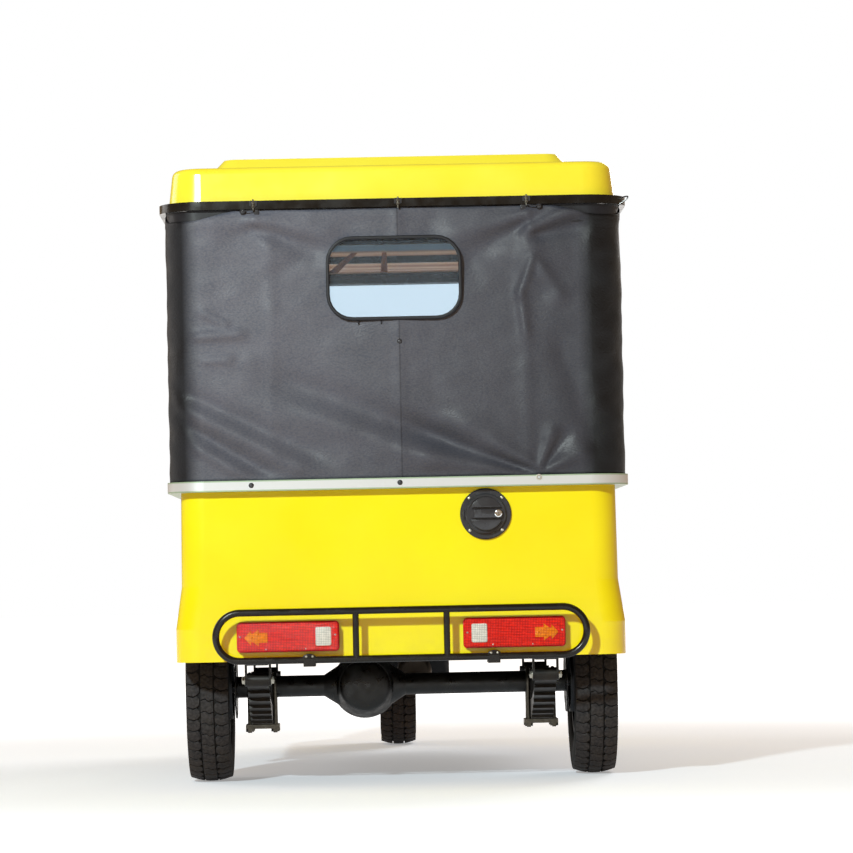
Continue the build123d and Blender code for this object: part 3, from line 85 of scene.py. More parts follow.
class Nodes:
    """Adds shader nodes to a tree."""

    def __init__(self, tree):
        self.tree = tree

    def add(self, kind, sockets=None, **settings):
        """A node with its settings; a socket takes a value or another node's output."""
        made = self.tree.nodes.new("ShaderNode" + kind)
        for name, value in settings.items():
            setattr(made, name, value)
        for name, value in (sockets or {}).items():
            if isinstance(value, bpy.types.NodeSocket):
                self.tree.links.new(value, made.inputs[name])
            else:
                made.inputs[name].default_value = value
        return made

    def axis(self, vector, axis):
        """One axis of a vector."""
        return self.add("SeparateXYZ", {"Vector": vector}).outputs[axis]

    def calc(self, operation, first, second=0.5):
        """A sum, a product or another simple calculation."""
        return self.add("Math", {0: first, 1: second}, operation=operation).outputs["Value"]

    def ramp(self, value, start, end, low=0.0, high=1.0, **settings):
        """A value that runs from low to high while another one runs from start to end."""
        limits = {"Value": value, "From Min": start, "From Max": end, "To Min": low, "To Max": high}
        return self.add("MapRange", limits, **settings).outputs["Result"]

    def blend(self, share, low, high):
        """A colour that goes from one to another with its share; a hex code stands for its colour."""
        low, high = (linear(canvas_tone_with_painted_shade) if isinstance(canvas_tone_with_painted_shade, str) else canvas_tone_with_painted_shade for canvas_tone_with_painted_shade in (low, high))
        return self.add("Mix", {"Factor": share, 6: low, 7: high}, data_type="RGBA").outputs[2]


class Look(Nodes):
    """A material with its shader and the place on the piece; sizes of patterns are in millimetres."""

    def __init__(self, name, code, rough, **sockets):
        self.material = bpy.data.materials.new(name)
        self.material.use_nodes = True
        super().__init__(self.material.node_tree)
        self.inputs = self.tree.nodes["Principled BSDF"].inputs
        self.inputs["Base Color"].default_value = linear(code)
        self.inputs["Roughness"].default_value = rough
        for socket, value in sockets.items():
            self.inputs[socket.replace("_", " ")].default_value = value
        self.place = self.add("TexCoord").outputs["Object"]

    def feed(self, socket, value):
        """Leads a value into the shader."""
        self.tree.links.new(value, self.inputs[socket])

    def speckle(self, size, detail, place=None):
        """Noise in patches."""
        sockets = {"Vector": place or self.place, "Scale": 1000 / size, "Detail": detail}
        return self.add("TexNoise", sockets).outputs["Fac"]

    def pebbles(self, size, place=None):
        """Rounded cells."""
        sockets = {"Vector": place or self.place, "Scale": 1000 / size}
        return self.add("TexVoronoi", sockets, feature="SMOOTH_F1").outputs["Distance"]

    def waves(self, pitch, way):
        """Even ribs that follow one another along one direction."""
        sockets = {"Vector": self.place, "Scale": 1000 * pi / 10 / pitch}
        return self.add("TexWave", sockets, bands_direction=way).outputs["Fac"]

    def mapped(self, place, scale):
        """The place with its axes stretched."""
        return self.add("Mapping", {"Vector": place, "Scale": scale}).outputs["Vector"]

    def drift(self, low, high, size, sharp=0.2):
        """A colour that drifts between two tones over patches."""
        return self.blend(self.ramp(self.speckle(size, 4.0), 0.5 - sharp, 0.5 + sharp), low, high)

    def paint(self, colour):
        """Gives the shader its colour."""
        self.feed("Base Color", colour)

    def painted(self):
        """The colour that the shader has so far."""
        return self.inputs["Base Color"].links[0].from_socket

    def uneven_gloss(self, low, high, size):
        """Gloss that varies over patches."""
        self.feed("Roughness", self.ramp(self.speckle(size, 5.0), 0.35, 0.65, low, high))

    def raise_by(self, height, depth, strength=1.0):
        """Lets a pattern stand proud by its depth, over what is raised already."""
        bump = self.add("Bump", {"Height": height, "Distance": depth / 1000, "Strength": strength})
        before = self.inputs["Normal"].links
        if before:
            self.tree.links.new(before[0].from_socket, bump.inputs["Normal"])
        self.feed("Normal", bump.outputs["Normal"])

    def road_dust(self, base, code, top, amount):
        """Pale road dust that thins out from the ground up to a height."""
        fade = self.ramp(self.axis(self.place, "Z"), top, 0.02, high=amount)
        patch = self.ramp(self.speckle(38, 6.0), 0.4, 0.7)
        self.paint(self.blend(self.calc("MULTIPLY", fade, patch), base, code))


def gelcoat(name, low, high):
    """Sprayed gelcoat over glass-fibre: a deep wet gloss with the faint ripple of a hand-laid mould."""
    look = Look(name, high, 0.2, Coat_Weight=0.22, Coat_Roughness=0.06)
    look.road_dust(look.drift(low, high, 420), "#B9985A", 0.52, 0.3)
    look.uneven_gloss(0.17, 0.27, 160)
    look.raise_by(look.speckle(55, 1.0), 0.5, 0.35)
    look.raise_by(look.speckle(7, 1.0), 0.06, 0.5)
    return look


def enamel(name, code, worn, rough, dust):
    """Brushed black enamel on steel tube and plate: glossy, a little uneven, dull with road dust."""
    look = Look(name, code, rough, Specular_IOR_Level=0.35)
    look.road_dust(look.drift(code, worn, 60), "#6E6557", 0.5, dust)
    look.uneven_gloss(rough - 0.03, rough + 0.09, 45)
    look.raise_by(look.speckle(11, 2.0), 0.18, 0.5)
    return look


def sand_cast(name, code, worn):
    """Cast iron under thick black paint: a pitted skin that still shines in patches."""
    look = Look(name, code, 0.4, Specular_IOR_Level=0.45)
    look.road_dust(look.drift(code, worn, 35), "#4A443B", 0.5, 0.12)
    look.uneven_gloss(0.24, 0.5, 30)
    look.raise_by(look.speckle(4, 4.0), 0.5, 0.6)
    return look


def plated(name, code, rough, size=9):
    """Plated or bare bright metal: sharp reflections broken by fine rubbing."""
    look = Look(name, code, rough, Metallic=1.0)
    look.uneven_gloss(max(rough - 0.08, 0.03), rough + 0.14, size)
    look.raise_by(look.speckle(3, 2.0), 0.05, 0.4)
    return look


def moulded(name, code, rough, grain=1.6, depth=0.12):
    """Moulded plastic: an even colour with a fine spark-eroded grain."""
    look = Look(name, code, rough, Specular_IOR_Level=0.35)
    look.uneven_gloss(rough - 0.05, rough + 0.1, 24)
    look.raise_by(look.pebbles(grain), depth, 0.5)
    return look


def hide(name, low, high, rough, grain, folds, rubbed_and_sheen=0.0):
    """Vinyl-coated cloth embossed like hide: pebbles whose rubbed tops are painted paler, partly as wear
    and partly as a painted satin sheen.
    """
    look = Look(name, high, rough, Specular_IOR_Level=0.3)
    base = look.drift(low, high, 130, 0.25)
    look.uneven_gloss(rough - 0.08, rough + 0.1, 90)
    bend = look.add("TexNoise", {"Vector": look.place, "Scale": 1000 / 14, "Detail": 2.0}).outputs["Color"]
    warp = look.add("VectorMath", {0: bend, 1: (0.009, 0.009, 0.009)}, operation="MULTIPLY").outputs[0]
    moved = look.add("VectorMath", {0: look.place, 1: warp}, operation="ADD").outputs[0]
    # the real pebbles are about 1.5 mm across, drawn coarser so that they show from the road
    cells = look.pebbles(grain, look.mapped(moved, (0.55, 0.55, 1.0)))
    look.raise_by(cells, 0.9, 0.6)
    # pebble tops painted paler: partly rubbed wear, partly a painted sheen
    look.paint(look.blend(look.ramp(cells, 0.25, 0.7, rubbed_and_sheen, 0.0), base, "#8E8F96"))
    look.raise_by(look.speckle(70, 3.0), 4.0, folds)
    return look


def rubber(name, code, worn, dust):
    """Cured tread rubber: matt black that greys in patches, with dust that thins out from the ground up."""
    look = Look(name, code, 0.82, Specular_IOR_Level=0.35)
    look.road_dust(look.drift(code, worn, 8), "#63605A", 0.45, dust)
    look.raise_by(look.speckle(2.5, 5.0), 0.5, 0.6)
    return look


def lens_plastic(name, code, dark, pitch):
    """Injection-moulded acrylic lens: small square prisms in rows, whose flashing and darkening by turns is
    painted into the colour as painted glints and painted shade.
    """
    look = Look(name, code, 0.12, IOR=1.49, Specular_IOR_Level=0.25)
    both = look.calc("MULTIPLY", look.waves(pitch, "Z"), look.waves(pitch, "X"))
    prism_glints = look.calc("ADD", both, look.speckle(6, 3.0, look.mapped(look.place, (0.45, 1.0, 1.0))))
    # painted glints and painted shade of the prisms, laid into the lens colour
    look.paint(look.blend(look.ramp(prism_glints, 0.55, 0.95), dark, code))
    look.raise_by(both, 0.8, 0.6)
    return look


def clear_sheet(name, code, rough, ripple, clear):
    """Clear flexible or hard sheet: tints what is behind it, with soft ripples in what it reflects."""
    look = Look(name, code, rough, Transmission_Weight=clear, IOR=1.2)
    look.raise_by(look.speckle(90, 1.0), ripple, 0.5)
    return look


yellow_body = gelcoat("yellow_gelcoat_body", "#FCEC03", "#FFF80C")
yellow_roof = gelcoat("yellow_gelcoat_roof", "#FFEF36", "#FFF84C")
black_enamel = enamel("black_enamel_steel", "#0B0908", "#130F0C", 0.22, 0.08)
frame_enamel = enamel("black_enamel_chassis", "#0B0A09", "#151310", 0.36, 0.2)
axle_iron = sand_cast("painted_axle_casting", "#060605", "#0D0C0B")
spring_paint = enamel("painted_spring_steel", "#0C0B0B", "#17130F", 0.36, 0.18)
zinc = plated("zinc_plated_steel", "#BDB9AE", 0.34)
brass_zinc = plated("dulled_zinc_steel", "#66625A", 0.42)
chrome = plated("chrome_plate", "#D9DBDC", 0.08)
wheel_silver = plated("dark_silver_wheel_paint", "#4A4C4F", 0.45, 30)
engine_alloy = plated("dark_cast_alloy", "#3A3B3D", 0.5, 14)
muffler_steel = plated("heat_stained_steel", "#5B5148", 0.5, 30)
# the tread blocks take a paler rubber than the carcass: partly worn grey, partly painted highlight on the
# blocks, with painted shade in the darker grooves
tyre_tread = rubber("tyre_tread_rubber", "#17171A", "#3A3A3E", 0.14)
tyre_wall = rubber("tyre_sidewall_rubber", "#0E0E0F", "#171718", 0.12)
canvas_cloth = hide("charcoal_vinyl_canvas", "#4E5463", "#5B6070", 0.5, 3.4, 0.35, 0.2)
seat_vinyl = hide("black_seat_vinyl", "#1B1B1E", "#242428", 0.5, 3.2, 0.3)
binding = moulded("black_pvc_binding", "#0F1017", 0.42)
gloss_abs = moulded("gloss_black_abs", "#35373D", 0.2, 2.0, 0.04)
matt_abs = moulded("matt_black_abs", "#1C1D1F", 0.5)
amber_lens = lens_plastic("amber_acrylic_lens", "#FF980E", "#C86004", 4.5)
white_lens = lens_plastic("clear_acrylic_prisms", "#F2F4F1", "#B8BFBE", 5.0)
window_pvc = clear_sheet("clear_pvc_window", "#E0F0FF", 0.03, 0.3, 0.965)
screen_glass = clear_sheet("windscreen_safety_glass", "#EEF7F9", 0.02, 0.1, 0.98)

# The canvas's colour carries painted shade: it darkens towards the right as painted light fall-off across
# the flat, it darkens towards the bottom, a painted shade line runs down the middle crease, and painted
# shade in navy black lies round both corners, where the sides turn from the light
canvas_x, canvas_z = (canvas_cloth.axis(canvas_cloth.place, axis) for axis in "XZ")
centre_seam_x = 0.012
off_seam = canvas_cloth.calc("ABSOLUTE", canvas_cloth.calc("SUBTRACT", canvas_x, centre_seam_x))
canvas_tone_with_painted_shade = canvas_cloth.painted()
for way, start, end, most, code in (
    # painted shade: darker towards the right, for the light's fall-off across the flat
    (canvas_x, -0.4, 0.5, 0.7, "#1E2028"),
    # darker towards the bottom
    (canvas_z, 1.25, 0.85, 0.26, "#1E1F26"),
    # painted shade: a dark line down the middle crease
    (off_seam, 0.003, 0.0012, 0.42, "#16171D"),
    # painted shade: navy black round both corners, where the sides turn from the light
    (canvas_x, -0.552, -0.602, 1.0, "#0D0F15"),
    (canvas_x, 0.52, 0.56, 1.0, "#06070B"),
):
    canvas_tone_with_painted_shade = canvas_cloth.blend(canvas_cloth.ramp(way, start, end, high=most), canvas_tone_with_painted_shade, code)
canvas_cloth.paint(canvas_tone_with_painted_shade)

# Red lamp: the lens is red acrylic and the tray behind it black, parted at the tray's edge
tray_edge_y = -1.4393
lamp_red = lens_plastic("red_acrylic_lens", "#FF2C1A", "#B00C05", 4.5)
in_tray = lamp_red.calc("GREATER_THAN", lamp_red.axis(lamp_red.place, "Y"), tray_edge_y)
lamp_red.paint(lamp_red.blend(in_tray, lamp_red.painted(), "#1A1211"))

# Trim strip: pale anodised aluminium, with a green-grey line painted along both rolled-over edges as
# painted shade where they turn from the light
trim_colour, edge_shade_colour = "#D2D7DB", "#9FB79E"
edge_shade_from, edge_shade_to = 0.0105, 0.0125
trim = Look("anodised_aluminium_trim", trim_colour, 0.34, Metallic=0.55)
strip_low, strip_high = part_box("canopy_strip")
strip_mid_z = (strip_low.z + strip_high.z) / 2
off_mid = trim.calc("ABSOLUTE", trim.calc("SUBTRACT", trim.axis(trim.place, "Z"), strip_mid_z))
# painted shade on the strip's two turned edges
trim.paint(trim.blend(trim.ramp(off_mid, edge_shade_from, edge_shade_to), trim_colour, edge_shade_colour))
trim.raise_by(trim.speckle(1000, 2.0, trim.mapped(trim.place, (6, 6, 700))), 0.05, 0.4)

# Roof lining: woven cloth in bands across the cabin, blue over the bench and tan stripes ahead of it
woven = Look("striped_lining_cloth", "#C79A7B", 0.85)
tan = woven.blend(woven.waves(150, "Y"), "#C89C8A", "#FFE0C8")
over_bench = woven.ramp(woven.axis(woven.place, "Y"), -0.05, 0.03)
woven.paint(woven.blend(over_bench, "#5B8DBB", tan))
woven.raise_by(woven.speckle(3, 2.0), 0.6, 0.6)

# Floor mat: rubber sheet with ribs 12 mm apart that run fore and aft
mat_rubber = Look("ribbed_rubber_mat", "#1D1D1E", 0.7)
mat_rubber.paint(mat_rubber.drift("#1A1A1B", "#2B2926", 140))
mat_rubber.raise_by(mat_rubber.waves(12, "X"), 1.5, 0.8)

# Handlebar: chromed tube, with black rubber grips and switch blocks on its two ends
chrome_colour, grip_colour, grip_length, grip_edge = "#D9DBDC", "#161617", 0.16, 0.001
bar = Look("chromed_bar_rubber_grips", chrome_colour, 0.1, Metallic=1.0)
off_stem = bar.calc("ABSOLUTE", bar.axis(bar.place, "X"))
grip_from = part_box("handlebar")[1].x - grip_length
on_grip = bar.ramp(off_stem, grip_from, grip_from + grip_edge)
for socket, bare, gripped in (("Metallic", 1.0, 0.0), ("Roughness", 0.1, 0.6)):
    bar.feed(socket, bar.ramp(on_grip, 0.0, 1.0, bare, gripped))
bar.paint(bar.blend(on_grip, chrome_colour, grip_colour))
bar.raise_by(bar.waves(4, "X"), 0.4, 0.3)

# Which nodes each material covers
for look, names in (
    (yellow_body, "bench_back_panel bench_base driver_seat_box front_fender front_shell"),
    (yellow_body, "rear_tub toe_board"),
    (black_enamel, "cabin_frame fork rear_guard roof_rail windscreen_frame"),
    (frame_enamel, "chassis_frame propeller_shaft wheel_arches"),
    (seat_vinyl, "bench_backrest bench_cushion driver_backrest driver_cushion"),
    (tyre_wall, "front_tyre rear_left_tyre rear_right_tyre"),
    (wheel_silver, "front_rim rear_left_rim rear_right_rim"),
    (spring_paint, "leaf_springs spring_shackles"),
    (gloss_abs, "filler_ring fuel_lid"),
    (amber_lens, "front_indicators"),
    (axle_iron, "rear_axle"),
    (bar, "handlebar"),
    (brass_zinc, "spring_ubolts"),
    (canvas_cloth, "rear_canopy"),
    (engine_alloy, "engine_block"),
    (lamp_red, "tail_lamps"),
    (woven, "roof_lining"),
    (mat_rubber, "floor_pan"),
    (matt_abs, "dashboard"),
    (muffler_steel, "exhaust"),
    (screen_glass, "windscreen_glass"),
    (trim, "canopy_strip"),
    (white_lens, "headlamps"),
    (window_pvc, "rear_window"),
    (yellow_roof, "roof_shell"),
):
    for name in names.split():
        nodes[name].data.materials.clear()
        nodes[name].data.materials.append(look.material)


# Making pieces
def mesh_of(name, shape):
    """The finished shape as a mesh."""
    mesh = bpy.data.meshes.new(name)
    shape.to_mesh(mesh)
    shape.free()
    return mesh


def piece(name, shape, look, body="root", crisp=35):
    """The shape as an object that rides on a body; edges sharper than crisp degrees stay sharp."""
    mesh = mesh_of(name, shape)
    mesh.shade_smooth()
    mesh.set_sharp_from_angle(angle=radians(crisp))
    mesh.materials.append(look.material)
    made = placed(name, mesh)
    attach(made, body)
    return made


def put(shape, part, place=Matrix()):
    """Adds a finished part to a shape at its place."""
    part.transform(place)
    spare = mesh_of("spare", part)
    shape.from_mesh(spare)
    bpy.data.meshes.remove(spare)
    return shape


def bake_modifiers(made):
    """Turns what the modifiers make into the piece's own mesh."""
    bpy.context.view_layer.update()
    made.data = bpy.data.meshes.new_from_object(made.evaluated_get(bpy.context.evaluated_depsgraph_get()))
    made.modifiers.clear()


def rearward(x, y, z, turn=0.0):
    """The place of a part whose own Z points backward, its X to the right and its Y up."""
    spun = Matrix.Rotation(radians(turn), 4, "Z")
    return Matrix.Translation((x, y, z)) @ Matrix.Rotation(radians(90), 4, "X") @ spun


def sideways(x, y, z, side=1):
    """The place of a part whose own Z points out to the right, or to the left."""
    return Matrix.Translation((x, y, z)) @ Matrix.Rotation(radians(90 * side), 4, "Y")


def turned(profile, steps=24):
    """A part turned about its own Z from points of radius and height."""
    part = bmesh.new()
    line = [part.verts.new((radius, 0, height)) for radius, height in profile]
    edges = [part.edges.new(pair) for pair in zip(line, line[1:])]
    whole = {"cent": (0, 0, 0), "axis": (0, 0, 1), "angle": 2 * pi, "use_merge": True}
    bmesh.ops.spin(part, geom=line + edges, steps=steps, **whole)
    bmesh.ops.remove_doubles(part, verts=part.verts, dist=1e-6)
    bmesh.ops.recalc_face_normals(part, faces=part.faces)
    return part


def soften(part, geom, offset, segments, affect="EDGES"):
    """Rounds off edges or corners."""
    how = {"affect": affect, "offset": offset, "segments": segments, "profile": 0.5, "material": -1}
    bmesh.ops.bevel(part, geom=geom, **how)


def flat_outline(width, height, corner):
    """One flat face in X and Y with rounded corners."""
    part = bmesh.new()
    bmesh.ops.create_grid(part, x_segments=1, y_segments=1, size=0.5)
    bmesh.ops.scale(part, vec=(width, height, 1), verts=part.verts)
    if corner:
        soften(part, part.verts[:], corner, 6, "VERTICES")
    return part


def thickened(part, depth, edge=0.0):
    """A flat part stood up along Z by its depth, its far rim softened."""
    made = bmesh.ops.extrude_face_region(part, geom=part.faces[:])["geom"]
    lifted = [v for v in made if isinstance(v, bmesh.types.BMVert)]
    bmesh.ops.translate(part, vec=(0, 0, depth), verts=lifted)
    bmesh.ops.recalc_face_normals(part, faces=part.faces)
    if edge:
        top = [e for e in part.edges if all(v.co.z > depth - 1e-6 for v in e.verts)]
        soften(part, [e for e in top if e.calc_face_angle(0) > 0.5], edge, 3)
    return part


def plate(width, height, depth, corner=0.0, edge=0.0):
    """A plate in X and Y with rounded corners and a softened rim."""
    return thickened(flat_outline(width, height, corner), depth, edge)


def ring_band(width, height, corner, band, depth, edge):
    """A rounded frame of that band width around an open middle."""
    part = flat_outline(width, height, corner)
    middle = part.faces[:]
    bmesh.ops.inset_region(part, faces=middle, thickness=band, use_even_offset=True, use_boundary=True)
    bmesh.ops.delete(part, geom=middle, context="FACES_ONLY")
    return thickened(part, depth, edge)


def outline_plate(points, depth, edge=0.0):
    """A plate cut to an outline of points in X and Y."""
    part = bmesh.new()
    part.faces.new([part.verts.new((x, y, 0)) for x, y in points])
    return thickened(part, depth, edge)


def wire(points, radius, closed=False, sides=3):
    """A round wire or tube bent smoothly through its points."""
    line = bpy.data.curves.new("wire", "CURVE")
    line.dimensions = "3D"
    line.bevel_depth = radius
    line.bevel_resolution = sides
    line.use_fill_caps = not closed
    spline = line.splines.new("NURBS")
    spline.points.add(len(points) - 1)
    for point, co in zip(spline.points, points):
        point.co = (*co, 1)
    spline.order_u = 3
    spline.use_endpoint_u = not closed
    spline.use_cyclic_u = closed
    holder = bpy.data.objects.new("wire", line)
    mesh = bpy.data.meshes.new_from_object(holder)
    part = bmesh.new()
    part.from_mesh(mesh)
    bpy.data.objects.remove(holder)
    bpy.data.curves.remove(line)
    bpy.data.meshes.remove(mesh)
    return part


def hex_nut(across, height, thread=0.0):
    """A hexagon nut on its washer, with the rounded end of the thread standing out of it."""
    part = bmesh.new()
    seat = 0.0015
    corner = across / 2 / cos(radians(30))
    middle = Matrix.Translation((0, 0, height / 2 + seat))
    size = {"radius1": corner, "radius2": corner, "depth": height}
    bmesh.ops.create_cone(part, cap_ends=True, segments=6, matrix=middle, **size)
    rim = [e for e in part.edges if all(v.co.z > height for v in e.verts)]
    soften(part, rim, height * 0.18, 1)
    washer = across * 0.68
    put(part, turned([(0, 0), (washer, 0), (washer, seat), (across * 0.4, seat + 0.0001)], 16))
    if thread:
        stud = across * 0.28
        top = height + seat + thread
        put(part, turned([(stud, height), (stud, top - 0.001), (stud * 0.7, top), (0, top)], 12))
    return part


def dome_stud(radius, height):
    """A snap stud or rivet head: a low dome with a thin foot."""
    steps = [radians(a) for a in (8, 28, 50, 70, 90)]
    profile = [(radius, 0), (radius, height * 0.15)]
    profile += [(radius * cos(a) * 0.92, height * (0.15 + 0.85 * sin(a))) for a in steps]
    profile[-1] = (0, height)
    return turned(profile, 20)


def ease(value):
    """Rises smoothly from 0 to 1."""
    value = min(max(value, 0), 1)
    return value * value * (3 - 2 * value)


# Canopy cloth: one sheet of vinyl canvas round the rear of the cabin, pulled tight at the roof clips and
# at the strip, with the folds that run out from those points
canopy_low, canopy_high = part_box("rear_canopy")
canopy_half = canopy_high.x
canopy_rear = canopy_low.y
canopy_corner = 0.103
canopy_flat = canopy_half - canopy_corner
canopy_turn = canopy_corner * pi / 2
canopy_reach = canopy_flat + canopy_turn + (canopy_high.y - canopy_rear - canopy_corner)
clip_places = (-0.395, 0.015, 0.379)
seam_x = 0.01


def on_canopy(along, z, proud):
    """The place on the canopy's skin, that far along its plan from the middle of the rear."""
    side = 1 if along >= 0 else -1
    way = abs(along)
    if way <= canopy_flat:
        x, y, out = way, canopy_rear, (0, -1)
    elif way <= canopy_flat + canopy_turn:
        angle = (way - canopy_flat) / canopy_corner
        x = canopy_flat + canopy_corner * sin(angle)
        y = canopy_rear + canopy_corner * (1 - cos(angle))
        out = (sin(angle), -cos(angle))
    else:
        x = canopy_half
        y = canopy_rear + canopy_corner + way - canopy_flat - canopy_turn
        out = (1, 0)
    return Vector((side * (x + out[0] * proud), y + out[1] * proud, z))


canopy_folds = (
    # along and height at the start, the same at the end, half width at each, millimetres proud
    (-0.385, 1.61, -0.19, 1.56, 0.016, 0.04, 4.5),
    (-0.4, 1.6, -0.52, 1.59, 0.014, 0.04, 4.0),
    (-0.39, 1.6, -0.33, 1.49, 0.012, 0.06, 2.5),
    (-0.385, 1.575, -0.21, 1.52, 0.016, 0.04, -4.0),
    (0.375, 1.605, 0.17, 1.545, 0.016, 0.045, 5.0),
    (0.365, 1.58, 0.2, 1.5, 0.016, 0.05, -4.0),
    (0.395, 1.57, 0.53, 1.622, 0.014, 0.026, 6.0),
    (0.4, 1.545, 0.53, 1.575, 0.016, 0.035, -4.5),
    (0.385, 1.59, 0.4, 1.42, 0.01, 0.05, 3.0),
    (0.392, 1.478, 0.356, 1.382, 0.01, 0.014, 4.0),
    (0.356, 1.382, 0.37, 1.27, 0.014, 0.012, 3.5),
    (0.412, 1.469, 0.47, 1.368, 0.012, 0.026, 3.0),
    (-0.56, 1.277, -0.44, 1.283, 0.012, 0.016, 4.5),
    (-0.545, 1.345, -0.48, 1.31, 0.01, 0.014, 3.5),
    (-0.545, 1.209, -0.47, 1.211, 0.01, 0.014, 3.0),
    (-0.57, 1.105, -0.237, 0.935, 0.022, 0.04, -5.0),
    (-0.575, 1.06, -0.26, 0.9, 0.018, 0.034, 4.5),
    (-0.57, 1.01, -0.365, 0.883, 0.016, 0.026, -5.0),
    (-0.565, 0.96, -0.43, 0.88, 0.014, 0.022, 4.0),
    (-0.309, 1.14, 0.12, 0.975, 0.05, 0.044, -8.0),
    (-0.25, 1.06, 0.12, 0.915, 0.044, 0.04, 5.0),
    (0.05, 1.0, 0.395, 0.87, 0.04, 0.014, -8.0),
    (0.08, 0.94, 0.39, 0.862, 0.03, 0.01, 5.0),
    (0.18, 1.02, 0.4, 0.88, 0.05, 0.014, 4.0),
    (-0.352, 0.86, -0.352, 1.6, 0.02, 0.02, 0.9),
    (0.37, 0.9, 0.37, 1.56, 0.02, 0.02, 1.1),
    (0.402, 0.88, 0.441, 0.99, 0.008, 0.022, 4.0),
    (0.405, 0.88, 0.48, 0.985, 0.008, 0.024, -3.5),
    (0.405, 0.875, 0.53, 0.93, 0.008, 0.024, 3.5),
    (0.47, 1.23, 0.56, 0.96, 0.03, 0.04, -3.5),
)
fold_strength = 2.6
crease_rise, crease_left, crease_right = 0.0045, 0.12, 0.09
ridge_rise, ridge_width = 0.0028, 0.024
billow, rumple = 0.004, 0.0018


def canopy_proud(along, z):
    """How far the cloth stands off its mean skin, in metres."""
    total = 0.0
    for x0, z0, x1, z1, w0, w1, rise in canopy_folds:
        dx, dz = x1 - x0, z1 - z0
        length = hypot(dx, dz)
        t = ((along - x0) * dx + (z - z0) * dz) / length**2
        if -0.3 < t < 1.3:
            off = abs((along - x0) * dz - (z - z0) * dx) / length
            width = w0 + (w1 - w0) * min(max(t, 0), 1)
            ends = ease((t + 0.3) / 0.4) * ease((1.3 - t) / 0.4)
            total += fold_strength * rise / 1000 * ends * exp(-((off / width) ** 2))
    # a crease down the middle, where the cloth was folded for packing
    off = abs(along - seam_x)
    total += crease_rise * max(0, 1 - off / (crease_left if along < seam_x else crease_right))
    total += ridge_rise * max(0, 1 - off / ridge_width)
    total += billow * noise.noise(Vector((along * 6, z * 8, 3.0)))
    total += rumple * noise.noise(Vector((along * 17, z * 22, 8.0)))
    held = ease((z - canopy_low.z) / 0.03) * ease((canopy_high.z - z) / 0.02)
    return total * (0.25 + 0.75 * held)


cloth = bmesh.new()
columns, rows = 360, 90
corner_droop, clip_sag = 0.026, 0.004
hem_from, hem_rise, cloth_inset = 0.965, 0.0012, 0.004
bmesh.ops.create_grid(cloth, x_segments=columns, y_segments=rows, size=1.0)
for vertex in cloth.verts:
    along = vertex.co.x * canopy_reach
    share = (vertex.co.y + 1) / 2
    droop = corner_droop * ease((abs(along) - 0.42) / 0.16) * ease((0.75 - abs(along)) / 0.1)
    top = canopy_high.z - droop - clip_sag * (1 - abs(cos(along * 8)))
    z = canopy_low.z + share * (top - canopy_low.z)
    hem = hem_rise if share > hem_from else 0.0
    vertex.co = on_canopy(along, z, canopy_proud(along, z) + hem - cloth_inset)
bmesh.ops.recalc_face_normals(cloth, faces=cloth.faces)
canopy = piece("canopy_cloth", cloth, canvas_cloth, crisp=180)
window_low, window_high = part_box("rear_window")
window_mid = (window_low + window_high) / 2
window_size = window_high - window_low
window_gap, window_corner, cutter_depth = 0.002, 0.066, 0.1
opening = plate(window_size.x + window_gap, window_size.z + window_gap, cutter_depth, window_corner)
opening.transform(rearward(window_mid.x, canopy_rear + cutter_depth / 2, window_mid.z))
cutter = placed("window_cutter", mesh_of("window_cutter", opening))
thick = canopy.modifiers.new("cloth_thickness", "SOLIDIFY")
thick.thickness = 0.0016
thick.offset = -1
cut = canopy.modifiers.new("window", "BOOLEAN")
cut.object = cutter
cut.solver = "EXACT"
bake_modifiers(canopy)
bpy.data.objects.remove(cutter)
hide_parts("rear_canopy")

# A black band behind the top edge of the cloth, closing the gap under the roof's lip: painted shade that
# stands for the lip's shadow where the cloth droops
painted_shade_band = bmesh.new()
shade_band_height, shade_band_inset = 0.05, 0.006
bmesh.ops.create_grid(painted_shade_band, x_segments=columns, y_segments=2, size=1.0)
for vertex in painted_shade_band.verts:
    height = canopy_high.z - shade_band_height * (1 - vertex.co.y) / 2
    vertex.co = on_canopy(vertex.co.x * canopy_reach, height, -shade_band_inset)
piece("canopy_painted_shade_band", painted_shade_band, binding, crisp=180)

# The window's piping, sewn round its opening, with two short ties below it
pipe_y = canopy_rear + 0.002
pipe_lap, pipe_corner, pipe_width, pipe_depth = 0.018, 0.074, 0.01, 0.0135
pipe = ring_band(
    window_size.x + pipe_lap, window_size.z + pipe_lap, pipe_corner, pipe_width, pipe_depth, 0.003
)
piping = put(bmesh.new(), pipe, rearward(window_mid.x, pipe_y, window_mid.z))
for tie_x in (-0.105, -0.04):
    tie_z = window_low.z - 0.006
    tie = [(tie_x, pipe_y - 0.004, tie_z), (tie_x + 0.003, pipe_y - 0.008, tie_z - 0.006)]
    put(piping, wire(tie + [(tie_x + 0.001, pipe_y - 0.005, tie_z - 0.013)], 0.0018))
piece("window_piping", piping, binding)

# Snap studs on the strip and the crease, and the open eyelet at the right
studs = bmesh.new()
for stud_x in (-0.415, 0.005):
    put(studs, dome_stud(0.0075, 0.006), rearward(stud_x, strip_low.y, strip_mid_z + 0.001))
put(studs, dome_stud(0.0085, 0.007), rearward(seam_x + 0.002, canopy_rear - 0.001, 1.254))
piece("cloth_studs", studs, gloss_abs)
eyelet = turned([(0.004, 0), (0.009, 0), (0.0085, 0.0022), (0.0055, 0.0024), (0.004, 0.001)], 20)
eyelets = put(bmesh.new(), eyelet, rearward(0.398, strip_low.y, strip_mid_z + 0.008))
piece("cloth_eyelet", eyelets, zinc)

